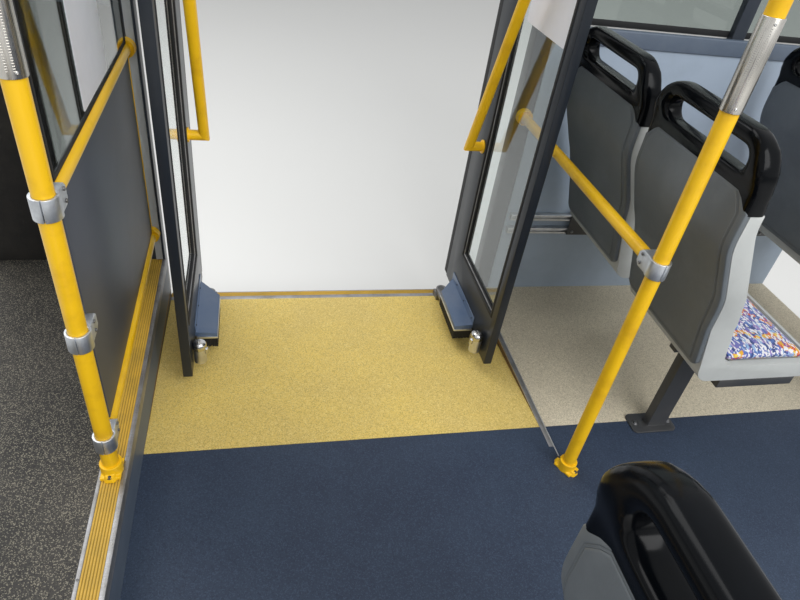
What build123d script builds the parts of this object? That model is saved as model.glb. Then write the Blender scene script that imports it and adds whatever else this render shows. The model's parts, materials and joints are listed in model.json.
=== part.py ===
from build123d import *
import os

os.makedirs("parts", exist_ok=True)

# Doorway bay of a low-floor city bus. Millimetres.
# +X towards the front of the bus, +Y out through the door, +Z up.
# The origin is under the middle of the bay, at the foot of the underframe.

# Floor and underframe
HALF_LENGTH = 1600
HALF_WIDTH = 1125
FLOOR = 200
VINYL = 3
PLY = 18
JOINT = 1
BORDER_Y = 285
BEAM_TOP = 100
BEAM_W = 60
INNER_BEAMS = (-380, 335)

# Side wall
LINING_IN = 1035
WALL = 53
LINING = 15
SKIN = 10
SKIRT_LOW = 20
PILLAR_W = 50
SILL_TOP = 1240
TRIM_HIGH = 55
TRIM_PROUD = 8
GLASS = 6
HEADER_Z = 2230
HEADER_HIGH = 200
HEADER_DEEP = 80
COVER = 3

# Doorway
DOOR_X = -420
PORTAL_HALF = 600
POST_W = 60
SILL_Z = 155
SILL_PAST = 5
SILL_INSERT = (4, 28)

# Raised rear floor
PLATFORM_TOP = 345
PLATFORM_SHEET = 4
EDGE_W = 62
EDGE_THICK = 6
LIP = 32
LIP_T = 3
INSERT = (9, 53)
INSERT_DEEP = 3
STRIP_W = 18
STRIP_T = 2
STRIP_START = 205

# Door leaves, drawn open, and their swing arms
PIVOT_INSET = 143
ARM = 182
ARM_W = 44
ARM_T = 18
ARM_RISE = 26
ARM_GAP = 10
HEADER_GAP = 16
BEARING_GAP = 3
BEARING_HALF = 25
SHAFT_R = 12
PIN_R = 9
PIN_OFF = 40
PIN_BACK = 301
RUN_FIT = 0.05
CLOSED_GAP = 6
LEAF_THICK = 28
LEAF_LIFT = 30
STILE_TRAIL = 44
STILE_LEAD = 125
NOSE = 40
NOSE_T = 22
RAIL_LOW = 185
RAIL_TOP = 100
GASKET_T = 16
LEAF_GLASS = 5
BEAD = 12
LUG = 25
LUG_HALF = 22

# Tubes
STAND_R = 19
RAIL_R = 16
POST_Y = 125
SCREEN_INSET = 32
BARRIER_INSET = 23
SCREEN_LOW = 458
SCREEN_TOP = 1080
BARRIER_Z = 940
OVERHEAD_DROP = 80
CAP = 60
FOOT_R = 26
FOOT_H = 34
FLANGE_HALF = 30
FLANGE_T = 8
CUP_LONG = 28
CLAMP_GROW = 6
CLAMP_H = 44
JAW_W = 42
JAW_OUT = 36
JAW_CUT = 10
SLEEVE_T = 3
REAR_SLEEVE = (1303, 1800)
FRONT_SLEEVE = (1314, 1488)

# Screen beside the door
PANEL_T = 10
PANEL_CLAMP_Z = 774
PANEL_BITE = 10
SCREEN_GLASS_DROP = 150

# Seats
SEAT_W = 424
SEAT_GAP = 46
WALL_GAP = 83
FIRST_ROW = 120
ROW_PITCH = 760
OFF_ROW = 50
OFF_GAP = 113
SHELL = 14
PAD_W = 310
PAD_DEEP = 20
PAD_PROUD = 8
PAD_CLEAR = 0.4
TUBE = 30
TRACK_UP = (290, 348)
TRACK_HALF = 12
TRACK_T = 22

rear_x = DOOR_X - PORTAL_HALF
front_x = DOOR_X + PORTAL_HALF
deck_top = FLOOR - VINYL
deck_low = deck_top - PLY
lining_out = LINING_IN + LINING
skin_out = LINING_IN + WALL
skin_in = skin_out - SKIN
top = HEADER_Z + HEADER_HIGH
sill_low = SILL_Z - VINYL - PLY
sill_start = LINING_IN + SILL_PAST


def block(x, y, z, mode=Mode.ADD):
    """A rectangular block between pairs of limits."""
    middle = tuple((a + b) / 2 for a, b in (x, y, z))
    with Locations(middle):
        Box(x[1] - x[0], y[1] - y[0], z[1] - z[0], mode=mode)


def post(x, y, z, radius, mode=Mode.ADD):
    """An upright round bar between two heights."""
    with Locations((x, y, (z[0] + z[1]) / 2)):
        Cylinder(radius, z[1] - z[0], mode=mode)


def across(x, y, z, radius, mode=Mode.ADD):
    """A round bar along Y between two places."""
    with Locations((x, (y[0] + y[1]) / 2, z)):
        Cylinder(radius, y[1] - y[0], rotation=(90, 0, 0), mode=mode)


def side_cut(points, y, radii=0, mode=Mode.ADD):
    """A plate with this outline in X and Z, filling the limits in Y."""
    with BuildSketch(Plane.XZ.offset(-y[1])) as outline:
        with BuildLine():
            FilletPolyline(*points, radius=radii, close=True)
        make_face()
    extrude(outline.sketch, amount=y[1] - y[0], mode=mode)


def end_cut(points, x, radii=0, mode=Mode.ADD):
    """A plate with this outline in Y and Z, filling the limits in X."""
    with BuildSketch(Plane.YZ.offset(x[0])) as outline:
        with BuildLine():
            FilletPolyline(*points, radius=radii, close=True)
        make_face()
    extrude(outline.sketch, amount=x[1] - x[0], mode=mode)


def plan_cut(points, z, mode=Mode.ADD):
    """A plate with this outline in X and Y, filling the limits in Z."""
    with BuildSketch(Plane.XY.offset(z[0])) as outline:
        with BuildLine():
            Polyline(*points, close=True)
        make_face()
    extrude(outline.sketch, amount=z[1] - z[0], mode=mode)


def inner(a, b, count):
    """Places that split a length evenly, without its ends."""
    return [a + (b - a) * i / (count + 1) for i in range(1, count + 1)]


def between(a, b):
    return (min(a, b), max(a, b))


def save(piece, name):
    piece.part.label = name
    export_step(piece.part, f"parts/{name}.step")


# Underframe
half_beam = BEAM_W / 2
beam_y = (half_beam - HALF_WIDTH, *INNER_BEAMS, skin_in - BEAM_W)
beam_ends = (half_beam - HALF_LENGTH, HALF_LENGTH - half_beam)
door_ends = (rear_x - POST_W / 2, front_x + POST_W / 2)
cross_x = (beam_ends[0], *inner(beam_ends[0], door_ends[0], 1), door_ends[0], *inner(*door_ends, 3),
           door_ends[1], *inner(door_ends[1], beam_ends[1], 4), beam_ends[1])

with BuildPart() as side_beams:
    for y in beam_y:
        block((-HALF_LENGTH, HALF_LENGTH), (y - half_beam, y + half_beam), (0, BEAM_TOP))
save(side_beams, "side_beams")

cross_outline = [(-HALF_WIDTH, BEAM_TOP), (-HALF_WIDTH, deck_low), (BORDER_Y, deck_low)]
cross_door = cross_outline + [(sill_start, sill_low), (skin_in, sill_low), (skin_in, BEAM_TOP)]
cross_plain = cross_outline + [(skin_in, deck_low), (skin_in, BEAM_TOP)]
with BuildPart() as cross_members:
    for x in cross_x:
        in_door = rear_x < x < front_x
        end_cut(cross_door if in_door else cross_plain, (x - half_beam, x + half_beam))
save(cross_members, "cross_members")

# Floor
pivots = [(DOOR_X + side * (PORTAL_HALF - PIVOT_INSET), LINING_IN) for side in (-1, 1)]
ramp_x = (rear_x + JOINT, front_x - JOINT)


def ramp_sheet(z, thick):
    """A sheet that falls from the colour border to the sill."""
    fall = FLOOR - SILL_Z
    y_in = BORDER_Y + JOINT
    outline = [(y_in, z), (sill_start, z - fall), (sill_start, z - fall - thick), (y_in, z - thick)]
    end_cut(outline, ramp_x)


def bearing_holes():
    for x, y in pivots:
        block((x - BEARING_HALF, x + BEARING_HALF), (y - BEARING_HALF, y + BEARING_HALF),
              (BEAM_TOP, FLOOR), Mode.SUBTRACT)


with BuildPart() as floor_deck:
    block((-HALF_LENGTH, HALF_LENGTH), (-HALF_WIDTH, BORDER_Y), (deck_low, deck_top))
    block((-HALF_LENGTH, rear_x), (BORDER_Y + JOINT, LINING_IN), (deck_low, deck_top))
    block((front_x, HALF_LENGTH), (BORDER_Y + JOINT, LINING_IN), (deck_low, deck_top))
    ramp_sheet(deck_top, PLY)
    bearing_holes()
save(floor_deck, "floor_deck")

with BuildPart() as aisle_floor:
    block((rear_x, HALF_LENGTH), (-HALF_WIDTH, BORDER_Y), (deck_top, FLOOR))
save(aisle_floor, "aisle_floor")

with BuildPart() as doorway_floor:
    ramp_sheet(FLOOR, VINYL)
    bearing_holes()
save(doorway_floor, "doorway_floor")

with BuildPart() as seat_floor:
    block((front_x, HALF_LENGTH), (BORDER_Y + JOINT, LINING_IN), (deck_top, FLOOR))
save(seat_floor, "seat_floor")

# Raised rear floor on its webs
platform_ply = PLATFORM_TOP - PLATFORM_SHEET
webs = (-HALF_LENGTH, (rear_x - PLY - HALF_LENGTH) / 2, rear_x - PLY)
with BuildPart() as platform_box:
    for x in webs:
        block((x, x + PLY), (-HALF_WIDTH, LINING_IN), (deck_top, platform_ply))
    block((-HALF_LENGTH, rear_x), (-HALF_WIDTH, LINING_IN), (platform_ply - PLY, platform_ply))
save(platform_box, "platform_box")

with BuildPart() as platform_floor:
    block((-HALF_LENGTH, rear_x - EDGE_W), (-HALF_WIDTH, LINING_IN), (platform_ply, PLATFORM_TOP))
save(platform_floor, "platform_floor")

# Aluminium profiles: step edge, door sill, strip beside the seat floor
edge_top = platform_ply + EDGE_THICK
edge_insert = ((rear_x - INSERT[1], rear_x - INSERT[0]), (-HALF_WIDTH, LINING_IN),
               (edge_top - INSERT_DEEP, edge_top))
sill_insert = ((rear_x, front_x), (skin_out - SILL_INSERT[1], skin_out - SILL_INSERT[0]),
               (SILL_Z - INSERT_DEEP, SILL_Z))
with BuildPart() as floor_profiles:
    block((rear_x - EDGE_W, rear_x + LIP_T), (-HALF_WIDTH, LINING_IN), (platform_ply, edge_top))
    block((rear_x, rear_x + LIP_T), (-HALF_WIDTH, LINING_IN), (platform_ply - LIP, platform_ply))
    block((rear_x, front_x), (sill_start, skin_out), (sill_low, SILL_Z))
    block(*edge_insert, Mode.SUBTRACT)
    block(*sill_insert, Mode.SUBTRACT)
    block((front_x, front_x + STRIP_W), (STRIP_START, LINING_IN), (FLOOR, FLOOR + STRIP_T))
    bearing_holes()
save(floor_profiles, "floor_profiles")

with BuildPart() as tread_inserts:
    block(*edge_insert)
    block(*sill_insert)
save(tread_inserts, "tread_inserts")

# Side wall
post_rear = (rear_x - POST_W, rear_x)
post_front = (front_x, front_x + POST_W)
rear_panel = (-HALF_LENGTH, post_rear[0])
front_panel = (post_front[1], HALF_LENGTH)
half_pillar = PILLAR_W / 2
pillar_x = (-HALF_LENGTH + half_pillar, post_rear[0] - half_pillar, post_front[1] + half_pillar,
            (post_front[1] + HALF_LENGTH) / 2, HALF_LENGTH - half_pillar)

with BuildPart() as door_posts:
    for x in (post_rear, post_front):
        block(x, (LINING_IN, skin_out), (deck_low, HEADER_Z))
save(door_posts, "door_posts")

with BuildPart() as outer_panels:
    for x in (rear_panel, front_panel):
        block(x, (skin_in, skin_out), (SKIRT_LOW, SILL_TOP))
save(outer_panels, "outer_panels")

with BuildPart() as wall_pillars:
    for x in pillar_x:
        block((x - half_pillar, x + half_pillar), (lining_out, skin_in), (deck_low, HEADER_Z))
save(wall_pillars, "wall_pillars")

trim_low = SILL_TOP - TRIM_HIGH
with BuildPart() as lining_panels:
    for x in (rear_panel, front_panel):
        block(x, (LINING_IN, lining_out), (deck_low, trim_low))
save(lining_panels, "lining_panels")

with BuildPart() as window_trim:
    for x in (rear_panel, front_panel):
        block(x, (LINING_IN - TRIM_PROUD, lining_out), (trim_low, SILL_TOP))
save(window_trim, "window_trim")

with BuildPart() as window_glass:
    for x in (rear_panel, front_panel):
        block(x, (skin_in, skin_in + GLASS), (SILL_TOP, HEADER_Z))
save(window_glass, "window_glass")

with BuildPart() as cant_rail:
    block((-HALF_LENGTH, HALF_LENGTH), (LINING_IN, skin_out), (HEADER_Z, top))
save(cant_rail, "cant_rail")

with BuildPart() as header_cover:
    block((rear_x, front_x), (LINING_IN - HEADER_DEEP, LINING_IN), (HEADER_Z, top))
    block((rear_x + COVER, front_x - COVER), (LINING_IN - HEADER_DEEP + COVER, LINING_IN),
          (HEADER_Z + COVER, top - COVER), Mode.SUBTRACT)
save(header_cover, "header_cover")

# Bearings of the swing arms, in the sill and under the header
arm_low = (SILL_Z + ARM_RISE, SILL_Z + ARM_RISE + ARM_T)
arm_high = (HEADER_Z - HEADER_GAP - ARM_T, HEADER_Z - HEADER_GAP)
with BuildPart() as pivot_blocks:
    for x, y in pivots:
        for z in ((BEAM_TOP, arm_low[0] - BEARING_GAP), (arm_high[1] + BEARING_GAP, HEADER_Z)):
            block((x - BEARING_HALF, x + BEARING_HALF), (y - BEARING_HALF, y + BEARING_HALF), z)
        post(x, y, (BEAM_TOP, arm_low[1]), SHAFT_R)
        post(x, y, (arm_high[0], HEADER_Z), SHAFT_R)
save(pivot_blocks, "pivot_blocks")

# Stanchions: the rear one stands on the step edge, the front one on the floor
post_top = HEADER_Z - OVERHEAD_DROP
rear_post = (rear_x - SCREEN_INSET, POST_Y)
front_post = (front_x + BARRIER_INSET, POST_Y)
stands = ((rear_post, edge_top), (front_post, FLOOR))
with BuildPart() as stanchions:
    for (x, y), foot in stands:
        post(x, y, (foot, post_top), STAND_R)
save(stanchions, "stanchions")

rails = ((rear_post[0], SCREEN_LOW), (rear_post[0], SCREEN_TOP), (front_post[0], BARRIER_Z))
with BuildPart() as tube_feet:
    for (x, y), foot in stands:
        block((x - FLANGE_HALF, x + FLANGE_HALF), (y - FLANGE_HALF, y + FLANGE_HALF), (foot, foot + FLANGE_T))
        post(x, y, (foot, foot + FOOT_H), FOOT_R)
        post(x, y, (foot, foot + FOOT_H), STAND_R, Mode.SUBTRACT)
    for x, z in rails:
        across(x, (LINING_IN - CUP_LONG, LINING_IN), z, FOOT_R)
save(tube_feet, "tube_feet")

# Rails from a clamp on the stanchion to a cup on the wall
jaw_end = POST_Y + STAND_R + JAW_OUT
with BuildPart() as cross_rails:
    for x, z in rails:
        across(x, (jaw_end, LINING_IN - CUP_LONG), z, RAIL_R)
save(cross_rails, "cross_rails")


def clamp(x, z, end):
    """A collar round the stanchion with a jaw that reaches towards the wall."""
    low = z - CLAMP_H / 2
    high = z + CLAMP_H / 2
    jaw = [(POST_Y, low), (end - JAW_CUT, low), (end, low + JAW_CUT),
           (end, high - JAW_CUT), (end - JAW_CUT, high), (POST_Y, high)]
    post(x, POST_Y, (low, high), STAND_R + CLAMP_GROW)
    end_cut(jaw, (x - JAW_W / 2, x + JAW_W / 2))
    post(x, POST_Y, (low, high), STAND_R, Mode.SUBTRACT)


slot_half = PANEL_T / 2 + PAD_CLEAR
with BuildPart() as tube_clamps:
    for x, z in rails:
        clamp(x, z, jaw_end)
    clamp(rear_post[0], PANEL_CLAMP_Z, jaw_end + PANEL_BITE)
    block((rear_post[0] - slot_half, rear_post[0] + slot_half), (jaw_end, jaw_end + PANEL_BITE),
          (PANEL_CLAMP_Z - CLAMP_H, PANEL_CLAMP_Z + CLAMP_H), Mode.SUBTRACT)
save(tube_clamps, "tube_clamps")

# Steel hand sleeves round both stanchions
with BuildPart() as grip_sleeves:
    for (x, y), z in ((rear_post, REAR_SLEEVE), (front_post, FRONT_SLEEVE)):
        post(x, y, z, STAND_R + SLEEVE_T)
        post(x, y, z, STAND_R, Mode.SUBTRACT)
save(grip_sleeves, "grip_sleeves")

# Overhead rails carry the stanchion tops
half_cap = CAP / 2
over_z = post_top + half_cap
with BuildPart() as overhead_clamps:
    for (x, y), foot in stands:
        block((x - half_cap, x + half_cap), (y - half_cap, y + half_cap), (post_top, post_top + CAP))
save(overhead_clamps, "overhead_clamps")

with BuildPart() as overhead_rails:
    for (x, y), foot in stands:
        across(x, (y + half_cap, LINING_IN), over_z, RAIL_R)
    with Locations(((rear_post[0] + front_post[0]) / 2, POST_Y, over_z)):
        Cylinder(RAIL_R, front_post[0] - rear_post[0] - CAP, rotation=(0, 90, 0))
save(overhead_rails, "overhead_rails")

# Screen between the rear stanchion and the door post
screen_y = (jaw_end + PAD_CLEAR, LINING_IN - CUP_LONG - PAD_CLEAR)
with BuildPart() as screen_panel:
    block((rear_post[0] - PANEL_T / 2, rear_post[0] + PANEL_T / 2), screen_y,
          (SCREEN_LOW + RAIL_R, SCREEN_TOP - RAIL_R))
save(screen_panel, "screen_panel")

with BuildPart() as screen_glass:
    block((rear_post[0] - GLASS / 2, rear_post[0] + GLASS / 2), screen_y,
          (SCREEN_TOP + RAIL_R + PAD_CLEAR, post_top - SCREEN_GLASS_DROP))
save(screen_glass, "screen_glass")

# Seat lines from the side: distance ahead of the handle's top, and height above the floor
RIM = ((10, 950), (10, 835), (75, 668), (128, 448))
RIM_BENDS = [0, 160, 300, 0]
FRONT = ((44, 950), (46, 878), (160, 602), (195, 450))
FRONT_BENDS = [0, 120, 200, 45]
PAN = ((515, 450), (515, 398), (136, 398))
PAN_BENDS = [14, 14, 45]
HANDLE = ((-4, 928), (-4, 955), (-20, 1010), (-20, 1080), (26, 1080), (40, 955), (44, 928))
HANDLE_BENDS = [0, 90, 60, 0, 0, 110, 0]
HANDLE_ROUND = 88
EAR_W = 44
SLOT = (318, 56)
SLOT_UP = 1016
WAIST = 22
WAIST_UP = (580, 700)
SHELL_NARROW = 6
SHELL_ROUND = 25
PAD_UP = (492, 900)
CUSHION_X = (225, 495)
CUSHION_DEEP = 15
CUSHION_PROUD = 10

half_seat = SEAT_W / 2
half_ear = half_seat - EAR_W
seat_y = (-half_seat, half_seat)
back_top = RIM[0][1]
ear_low = HANDLE[0][1]
pan_high = FLOOR + PAN[0][1]
pan_low = FLOOR + PAN[1][1]


def lifted(points):
    """Points of a seat line, moved up on to the floor."""
    return [(x, z + FLOOR) for x, z in points]


def seat_width(half_line, bends):
    """Trims a seat piece to an outline from behind, given by its right half from the foot up."""
    left = [(-y, z) for y, z in reversed(half_line)]
    end_cut(lifted([*half_line, *left]), (-SEAT_W, SEAT_W * 2), bends + bends[::-1], Mode.INTERSECT)


def waisted(foot, bend):
    """The outline of the back: narrow at the foot, wide at the shoulders, cut out for the ears."""
    sides = [(half_seat - WAIST, WAIST_UP[0]), (half_seat, WAIST_UP[1])]
    shoulder = [(half_seat, ear_low), (half_ear, ear_low), (half_ear, back_top)]
    seat_width([foot, *sides, *shoulder], [bend, 0, 0, 0, 0, 0])


# One of each seat piece, in the middle of the bus
with BuildPart() as one_shell:
    behind = [(x - SHELL, z) for x, z in reversed(RIM)]
    side_cut(lifted([*RIM, *behind]), seat_y, RIM_BENDS + RIM_BENDS[::-1])
    waisted((half_seat - WAIST - SHELL_NARROW, RIM[-1][1]), SHELL_ROUND)


def front_at(up):
    """How far ahead the front line stands at a height."""
    for (x0, z0), (x1, z1) in zip(FRONT, FRONT[1:]):
        if z1 <= up <= z0:
            return x0 + (x1 - x0) * (z0 - up) / (z0 - z1)


def pad_line(clear, proud):
    """Outline of the back pad, or of its recess with a clearance all round."""
    line = [(front_at(PAD_UP[1]), PAD_UP[1] + clear), FRONT[1], FRONT[2],
            (front_at(PAD_UP[0]), PAD_UP[0] - clear)]
    behind = [(x - PAD_DEEP - clear, z) for x, z in line]
    before = [(x + proud, z) for x, z in reversed(line)]
    return lifted(behind + before)


pad_half = PAD_W / 2
pad_room = pad_half + PAD_CLEAR
with BuildPart() as one_liner:
    seam = [(x + PAD_CLEAR, z) for x, z in reversed(RIM)]
    side_cut(lifted([*FRONT, *PAN, *seam]), seat_y, FRONT_BENDS + PAN_BENDS + RIM_BENDS[::-1])
    waisted((half_seat - WAIST, PAN[1][1]), 0)
    side_cut(pad_line(PAD_CLEAR, PAD_DEEP), (-pad_room, pad_room), 0, Mode.SUBTRACT)
    block((CUSHION_X[0] - PAD_CLEAR, CUSHION_X[1] + PAD_CLEAR), (-pad_room, pad_room),
          (pan_high - CUSHION_DEEP - PAD_CLEAR, pan_high + CUSHION_DEEP), Mode.SUBTRACT)

with BuildPart() as one_pad:
    side_cut(pad_line(0, PAD_PROUD), (-pad_half, pad_half))

with BuildPart() as one_cushion:
    block(CUSHION_X, (-pad_half, pad_half), (pan_high - CUSHION_DEEP, pan_high + CUSHION_PROUD))

with BuildPart() as one_handle:
    side_cut(lifted(HANDLE), seat_y, HANDLE_BENDS)
    seat_width([(half_ear, back_top), (half_ear, ear_low), (half_seat, ear_low), (half_seat, HANDLE[3][1])],
               [0, 0, 0, HANDLE_ROUND])
    with BuildSketch(Plane.YZ.offset(-SEAT_W)) as slot:
        with Locations((0, FLOOR + SLOT_UP)):
            SlotOverall(*SLOT)
    extrude(slot.sketch, amount=SEAT_W * 2, mode=Mode.SUBTRACT)

window_y = LINING_IN - WALL_GAP - half_seat
aisle_y = window_y - SEAT_W - SEAT_GAP
off_seat = (DOOR_X + OFF_ROW, OFF_GAP + half_seat - HALF_WIDTH)
rows = [front_x + FIRST_ROW + row * ROW_PITCH for row in (0, 1)]
seats = [(x, y) for x in rows for y in (aisle_y, window_y)] + [off_seat]

seat_pieces = (("seat_shells", one_shell), ("seat_liners", one_liner), ("seat_handles", one_handle),
               ("back_pads", one_pad), ("seat_cushions", one_cushion))
for name, one in seat_pieces:
    with BuildPart() as copies:
        with Locations(*[(x, y, 0) for x, y in seats]):
            add(one.part)
    save(copies, name)

# Seat frames: two cross tubes, a pedestal with a foot plate, a plate on the wall tracks
TUBE_AHEAD = (216, 430)
BAR_PAST = 10
LEG = (252, 318)
LEG_HALF = 16
PLATE = (194, 352)
PLATE_HALF = 40
PLATE_T = 6
WALL_PLATE_T = 8
FRAME_HALF = 190
tube_z = (pan_low - TUBE, pan_low)
track_in = LINING_IN - TRACK_T
frames = [(x, aisle_y, track_in - WALL_PLATE_T) for x in rows]
frames.append((*off_seat, off_seat[1] + FRAME_HALF))
bar_x = (TUBE_AHEAD[0] - BAR_PAST, TUBE_AHEAD[1] + TUBE + BAR_PAST)

with BuildPart() as seat_tubes:
    for x, y, far in frames:
        for ahead in TUBE_AHEAD:
            block((x + ahead, x + ahead + TUBE), (y - FRAME_HALF, far), tube_z)
        block((x + TUBE_AHEAD[0] + TUBE, x + TUBE_AHEAD[1]), (y - FRAME_HALF, y - FRAME_HALF + TUBE), tube_z)
save(seat_tubes, "seat_tubes")

with BuildPart() as seat_legs:
    for x, y, far in frames:
        block((x + bar_x[0], x + bar_x[1]), (y - TUBE / 2, y + TUBE / 2), (tube_z[0] - TUBE, tube_z[0]))
        block((x + LEG[0], x + LEG[1]), (y - LEG_HALF, y + LEG_HALF), (FLOOR + PLATE_T, tube_z[0] - TUBE))
        block((x + PLATE[0], x + PLATE[1]), (y - PLATE_HALF, y + PLATE_HALF), (FLOOR, FLOOR + PLATE_T))
save(seat_legs, "seat_legs")

with BuildPart() as seat_wall_plates:
    for x in rows:
        block((x + bar_x[0] - BAR_PAST, x + bar_x[1] + BAR_PAST), (track_in - WALL_PLATE_T, track_in),
              (FLOOR + TRACK_UP[0] - TRACK_HALF, tube_z[1]))
save(seat_wall_plates, "seat_wall_plates")

with BuildPart() as wall_tracks:
    for up in TRACK_UP:
        block((post_front[1] + BAR_PAST, HALF_LENGTH), (track_in, LINING_IN),
              (FLOOR + up - TRACK_HALF, FLOOR + up + TRACK_HALF))
save(wall_tracks, "wall_tracks")

# Door leaves and their arms: side is -1 for the rear leaf, +1 for the front leaf.
# Places along a leaf are measured from its trailing edge, heights from its foot.
pin_y = LINING_IN - ARM
leaf_y = pin_y - PIN_BACK
reach = PORTAL_HALF - PIVOT_INSET - ARM - CLOSED_GAP / 2
lead = pin_y + reach - NOSE
leaf_z = (FLOOR + LEAF_LIFT, arm_high[0] - ARM_GAP)
glass_y = (leaf_y + STILE_TRAIL, lead - STILE_LEAD)
glass_z = (leaf_z[0] + RAIL_LOW, leaf_z[1] - RAIL_TOP)
pane_y = (glass_y[0] + BEAD, glass_y[1] - BEAD)
pane_z = (glass_z[0] + BEAD, glass_z[1] - BEAD)
RAIL_OUT = 50
RAIL_FOOT = (438, 610)
RAIL_HEAD = (24, 1720)
GUARD = (161, 450)
GUARD_EDGE = (155, 362)
GUARD_OUT = 71
GUARD_UP = 28
GUARD_DEEP = 16
GUARD_WALL = 3
GUARD_FLANGE = 30
BRUSH_T = 12
BRUSH_DEEP = 44
BOLT_ALONG = 58
BOLT_R = 17
BOLT_OFF = 3
BOLT_UP = (18, 95)
LOBE = 24
LOBE_UP = (30, 84)

for side, name in ((-1, "rear"), (1, "front")):
    inward = -side
    pivot_x = DOOR_X + side * (PORTAL_HALF - PIVOT_INSET)
    mid = pivot_x + side * PIN_OFF
    face = mid + inward * LEAF_THICK / 2
    half_leaf = LEAF_THICK / 2
    lug_z = ((leaf_z[0], leaf_z[0] + LUG), (leaf_z[1] - LUG, leaf_z[1]))

    with BuildPart() as frame:
        block((mid - half_leaf, mid + half_leaf), (leaf_y, lead), leaf_z)
        block((mid - half_leaf, mid + half_leaf), glass_y, glass_z, Mode.SUBTRACT)
        for z in lug_z:
            block(between(face, pivot_x + inward * LUG_HALF), (pin_y - LUG_HALF, pin_y + LUG_HALF), z)
            post(pivot_x, pin_y, z, PIN_R + RUN_FIT, Mode.SUBTRACT)
    save(frame, f"{name}_leaf_frame")

    with BuildPart() as rubber:
        block((mid - NOSE_T / 2, mid + NOSE_T / 2), (lead, lead + NOSE), leaf_z)
        block((mid - GASKET_T / 2, mid + GASKET_T / 2), glass_y, glass_z)
        block((mid - GASKET_T / 2, mid + GASKET_T / 2), pane_y, pane_z, Mode.SUBTRACT)
    save(rubber, f"{name}_leaf_rubber")

    with BuildPart() as glass:
        block((mid - LEAF_GLASS / 2, mid + LEAF_GLASS / 2), pane_y, pane_z)
    save(glass, f"{name}_leaf_glass")

    rail_x = face + inward * RAIL_OUT
    foot = (leaf_y + RAIL_FOOT[0], leaf_z[0] + RAIL_FOOT[1])
    head = (leaf_y + RAIL_HEAD[0], leaf_z[0] + RAIL_HEAD[1])
    with BuildPart() as handrail:
        with BuildLine():
            Polyline((face, *foot), (rail_x, *foot), (rail_x, *head), (face, *head))
        with BuildSketch(Plane(origin=(face, *foot), z_dir=(inward, 0, 0))):
            Circle(RAIL_R)
        sweep(transition=Transition.RIGHT)
    save(handrail, f"{name}_handrail")

    # A shallow tray that keeps shoes from under the leaf, with a brush under its edges
    edge = face + inward * GUARD_OUT
    inner_edge = edge - inward * GUARD_WALL
    tray = [(face, leaf_y + GUARD[0]), (face, leaf_y + GUARD[1]),
            (edge, leaf_y + GUARD_EDGE[1]), (edge, leaf_y + GUARD_EDGE[0])]
    hollow = [(face, leaf_y + GUARD[0] + GUARD_WALL), (face, leaf_y + GUARD[1] - GUARD_WALL),
              (inner_edge, leaf_y + GUARD_EDGE[1] - GUARD_WALL),
              (inner_edge, leaf_y + GUARD_EDGE[0] + GUARD_WALL)]
    tray_z = (leaf_z[0] + GUARD_UP, leaf_z[0] + GUARD_UP + GUARD_DEEP)
    with BuildPart() as guard:
        plan_cut(tray, tray_z)
        plan_cut(hollow, (tray_z[0], tray_z[1] - GUARD_WALL), Mode.SUBTRACT)
        block(between(face, face + inward * GUARD_WALL), (leaf_y + GUARD[0], leaf_y + GUARD[1]),
              (tray_z[1] - GUARD_WALL, tray_z[1] + GUARD_FLANGE))
    save(guard, f"{name}_toe_guard")

    brush_z = (tray_z[0] - BRUSH_DEEP, tray_z[0])
    brush_x = between(edge, edge - inward * BRUSH_T)
    end_y = leaf_y + GUARD[0]
    with BuildPart() as brush:
        block(brush_x, (leaf_y + GUARD_EDGE[0], leaf_y + GUARD_EDGE[1]), brush_z)
        block(between(face + inward * GUARD_WALL, edge - inward * BRUSH_T), (end_y, end_y + BRUSH_T), brush_z)
    save(brush, f"{name}_guard_brush")

    bolt_y = leaf_y + BOLT_ALONG
    with BuildPart() as bolt:
        post(face + inward * (BOLT_R + BOLT_OFF), bolt_y, [leaf_z[0] + up for up in BOLT_UP], BOLT_R)
        block(between(face, face + inward * LOBE), (bolt_y - LOBE / 2, bolt_y + LOBE / 2),
              [leaf_z[0] + up for up in LOBE_UP])
    save(bolt, f"{name}_lock_bolt")

    with BuildPart() as arms:
        for z in (arm_low, arm_high):
            with BuildSketch(Plane.XY.offset(z[0])) as arm:
                with Locations((pivot_x, LINING_IN - ARM / 2)):
                    SlotCenterToCenter(ARM, ARM_W, rotation=90)
                with Locations((pivot_x, LINING_IN)):
                    Circle(SHAFT_R + RUN_FIT, mode=Mode.SUBTRACT)
            extrude(arm.sketch, amount=ARM_T)
        post(pivot_x, pin_y, (arm_low[1], lug_z[0][1]), PIN_R)
        post(pivot_x, pin_y, (lug_z[1][0], arm_high[0]), PIN_R)
    save(arms, f"{name}_arms")
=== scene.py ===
import json
import math
from contextlib import contextmanager

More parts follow.
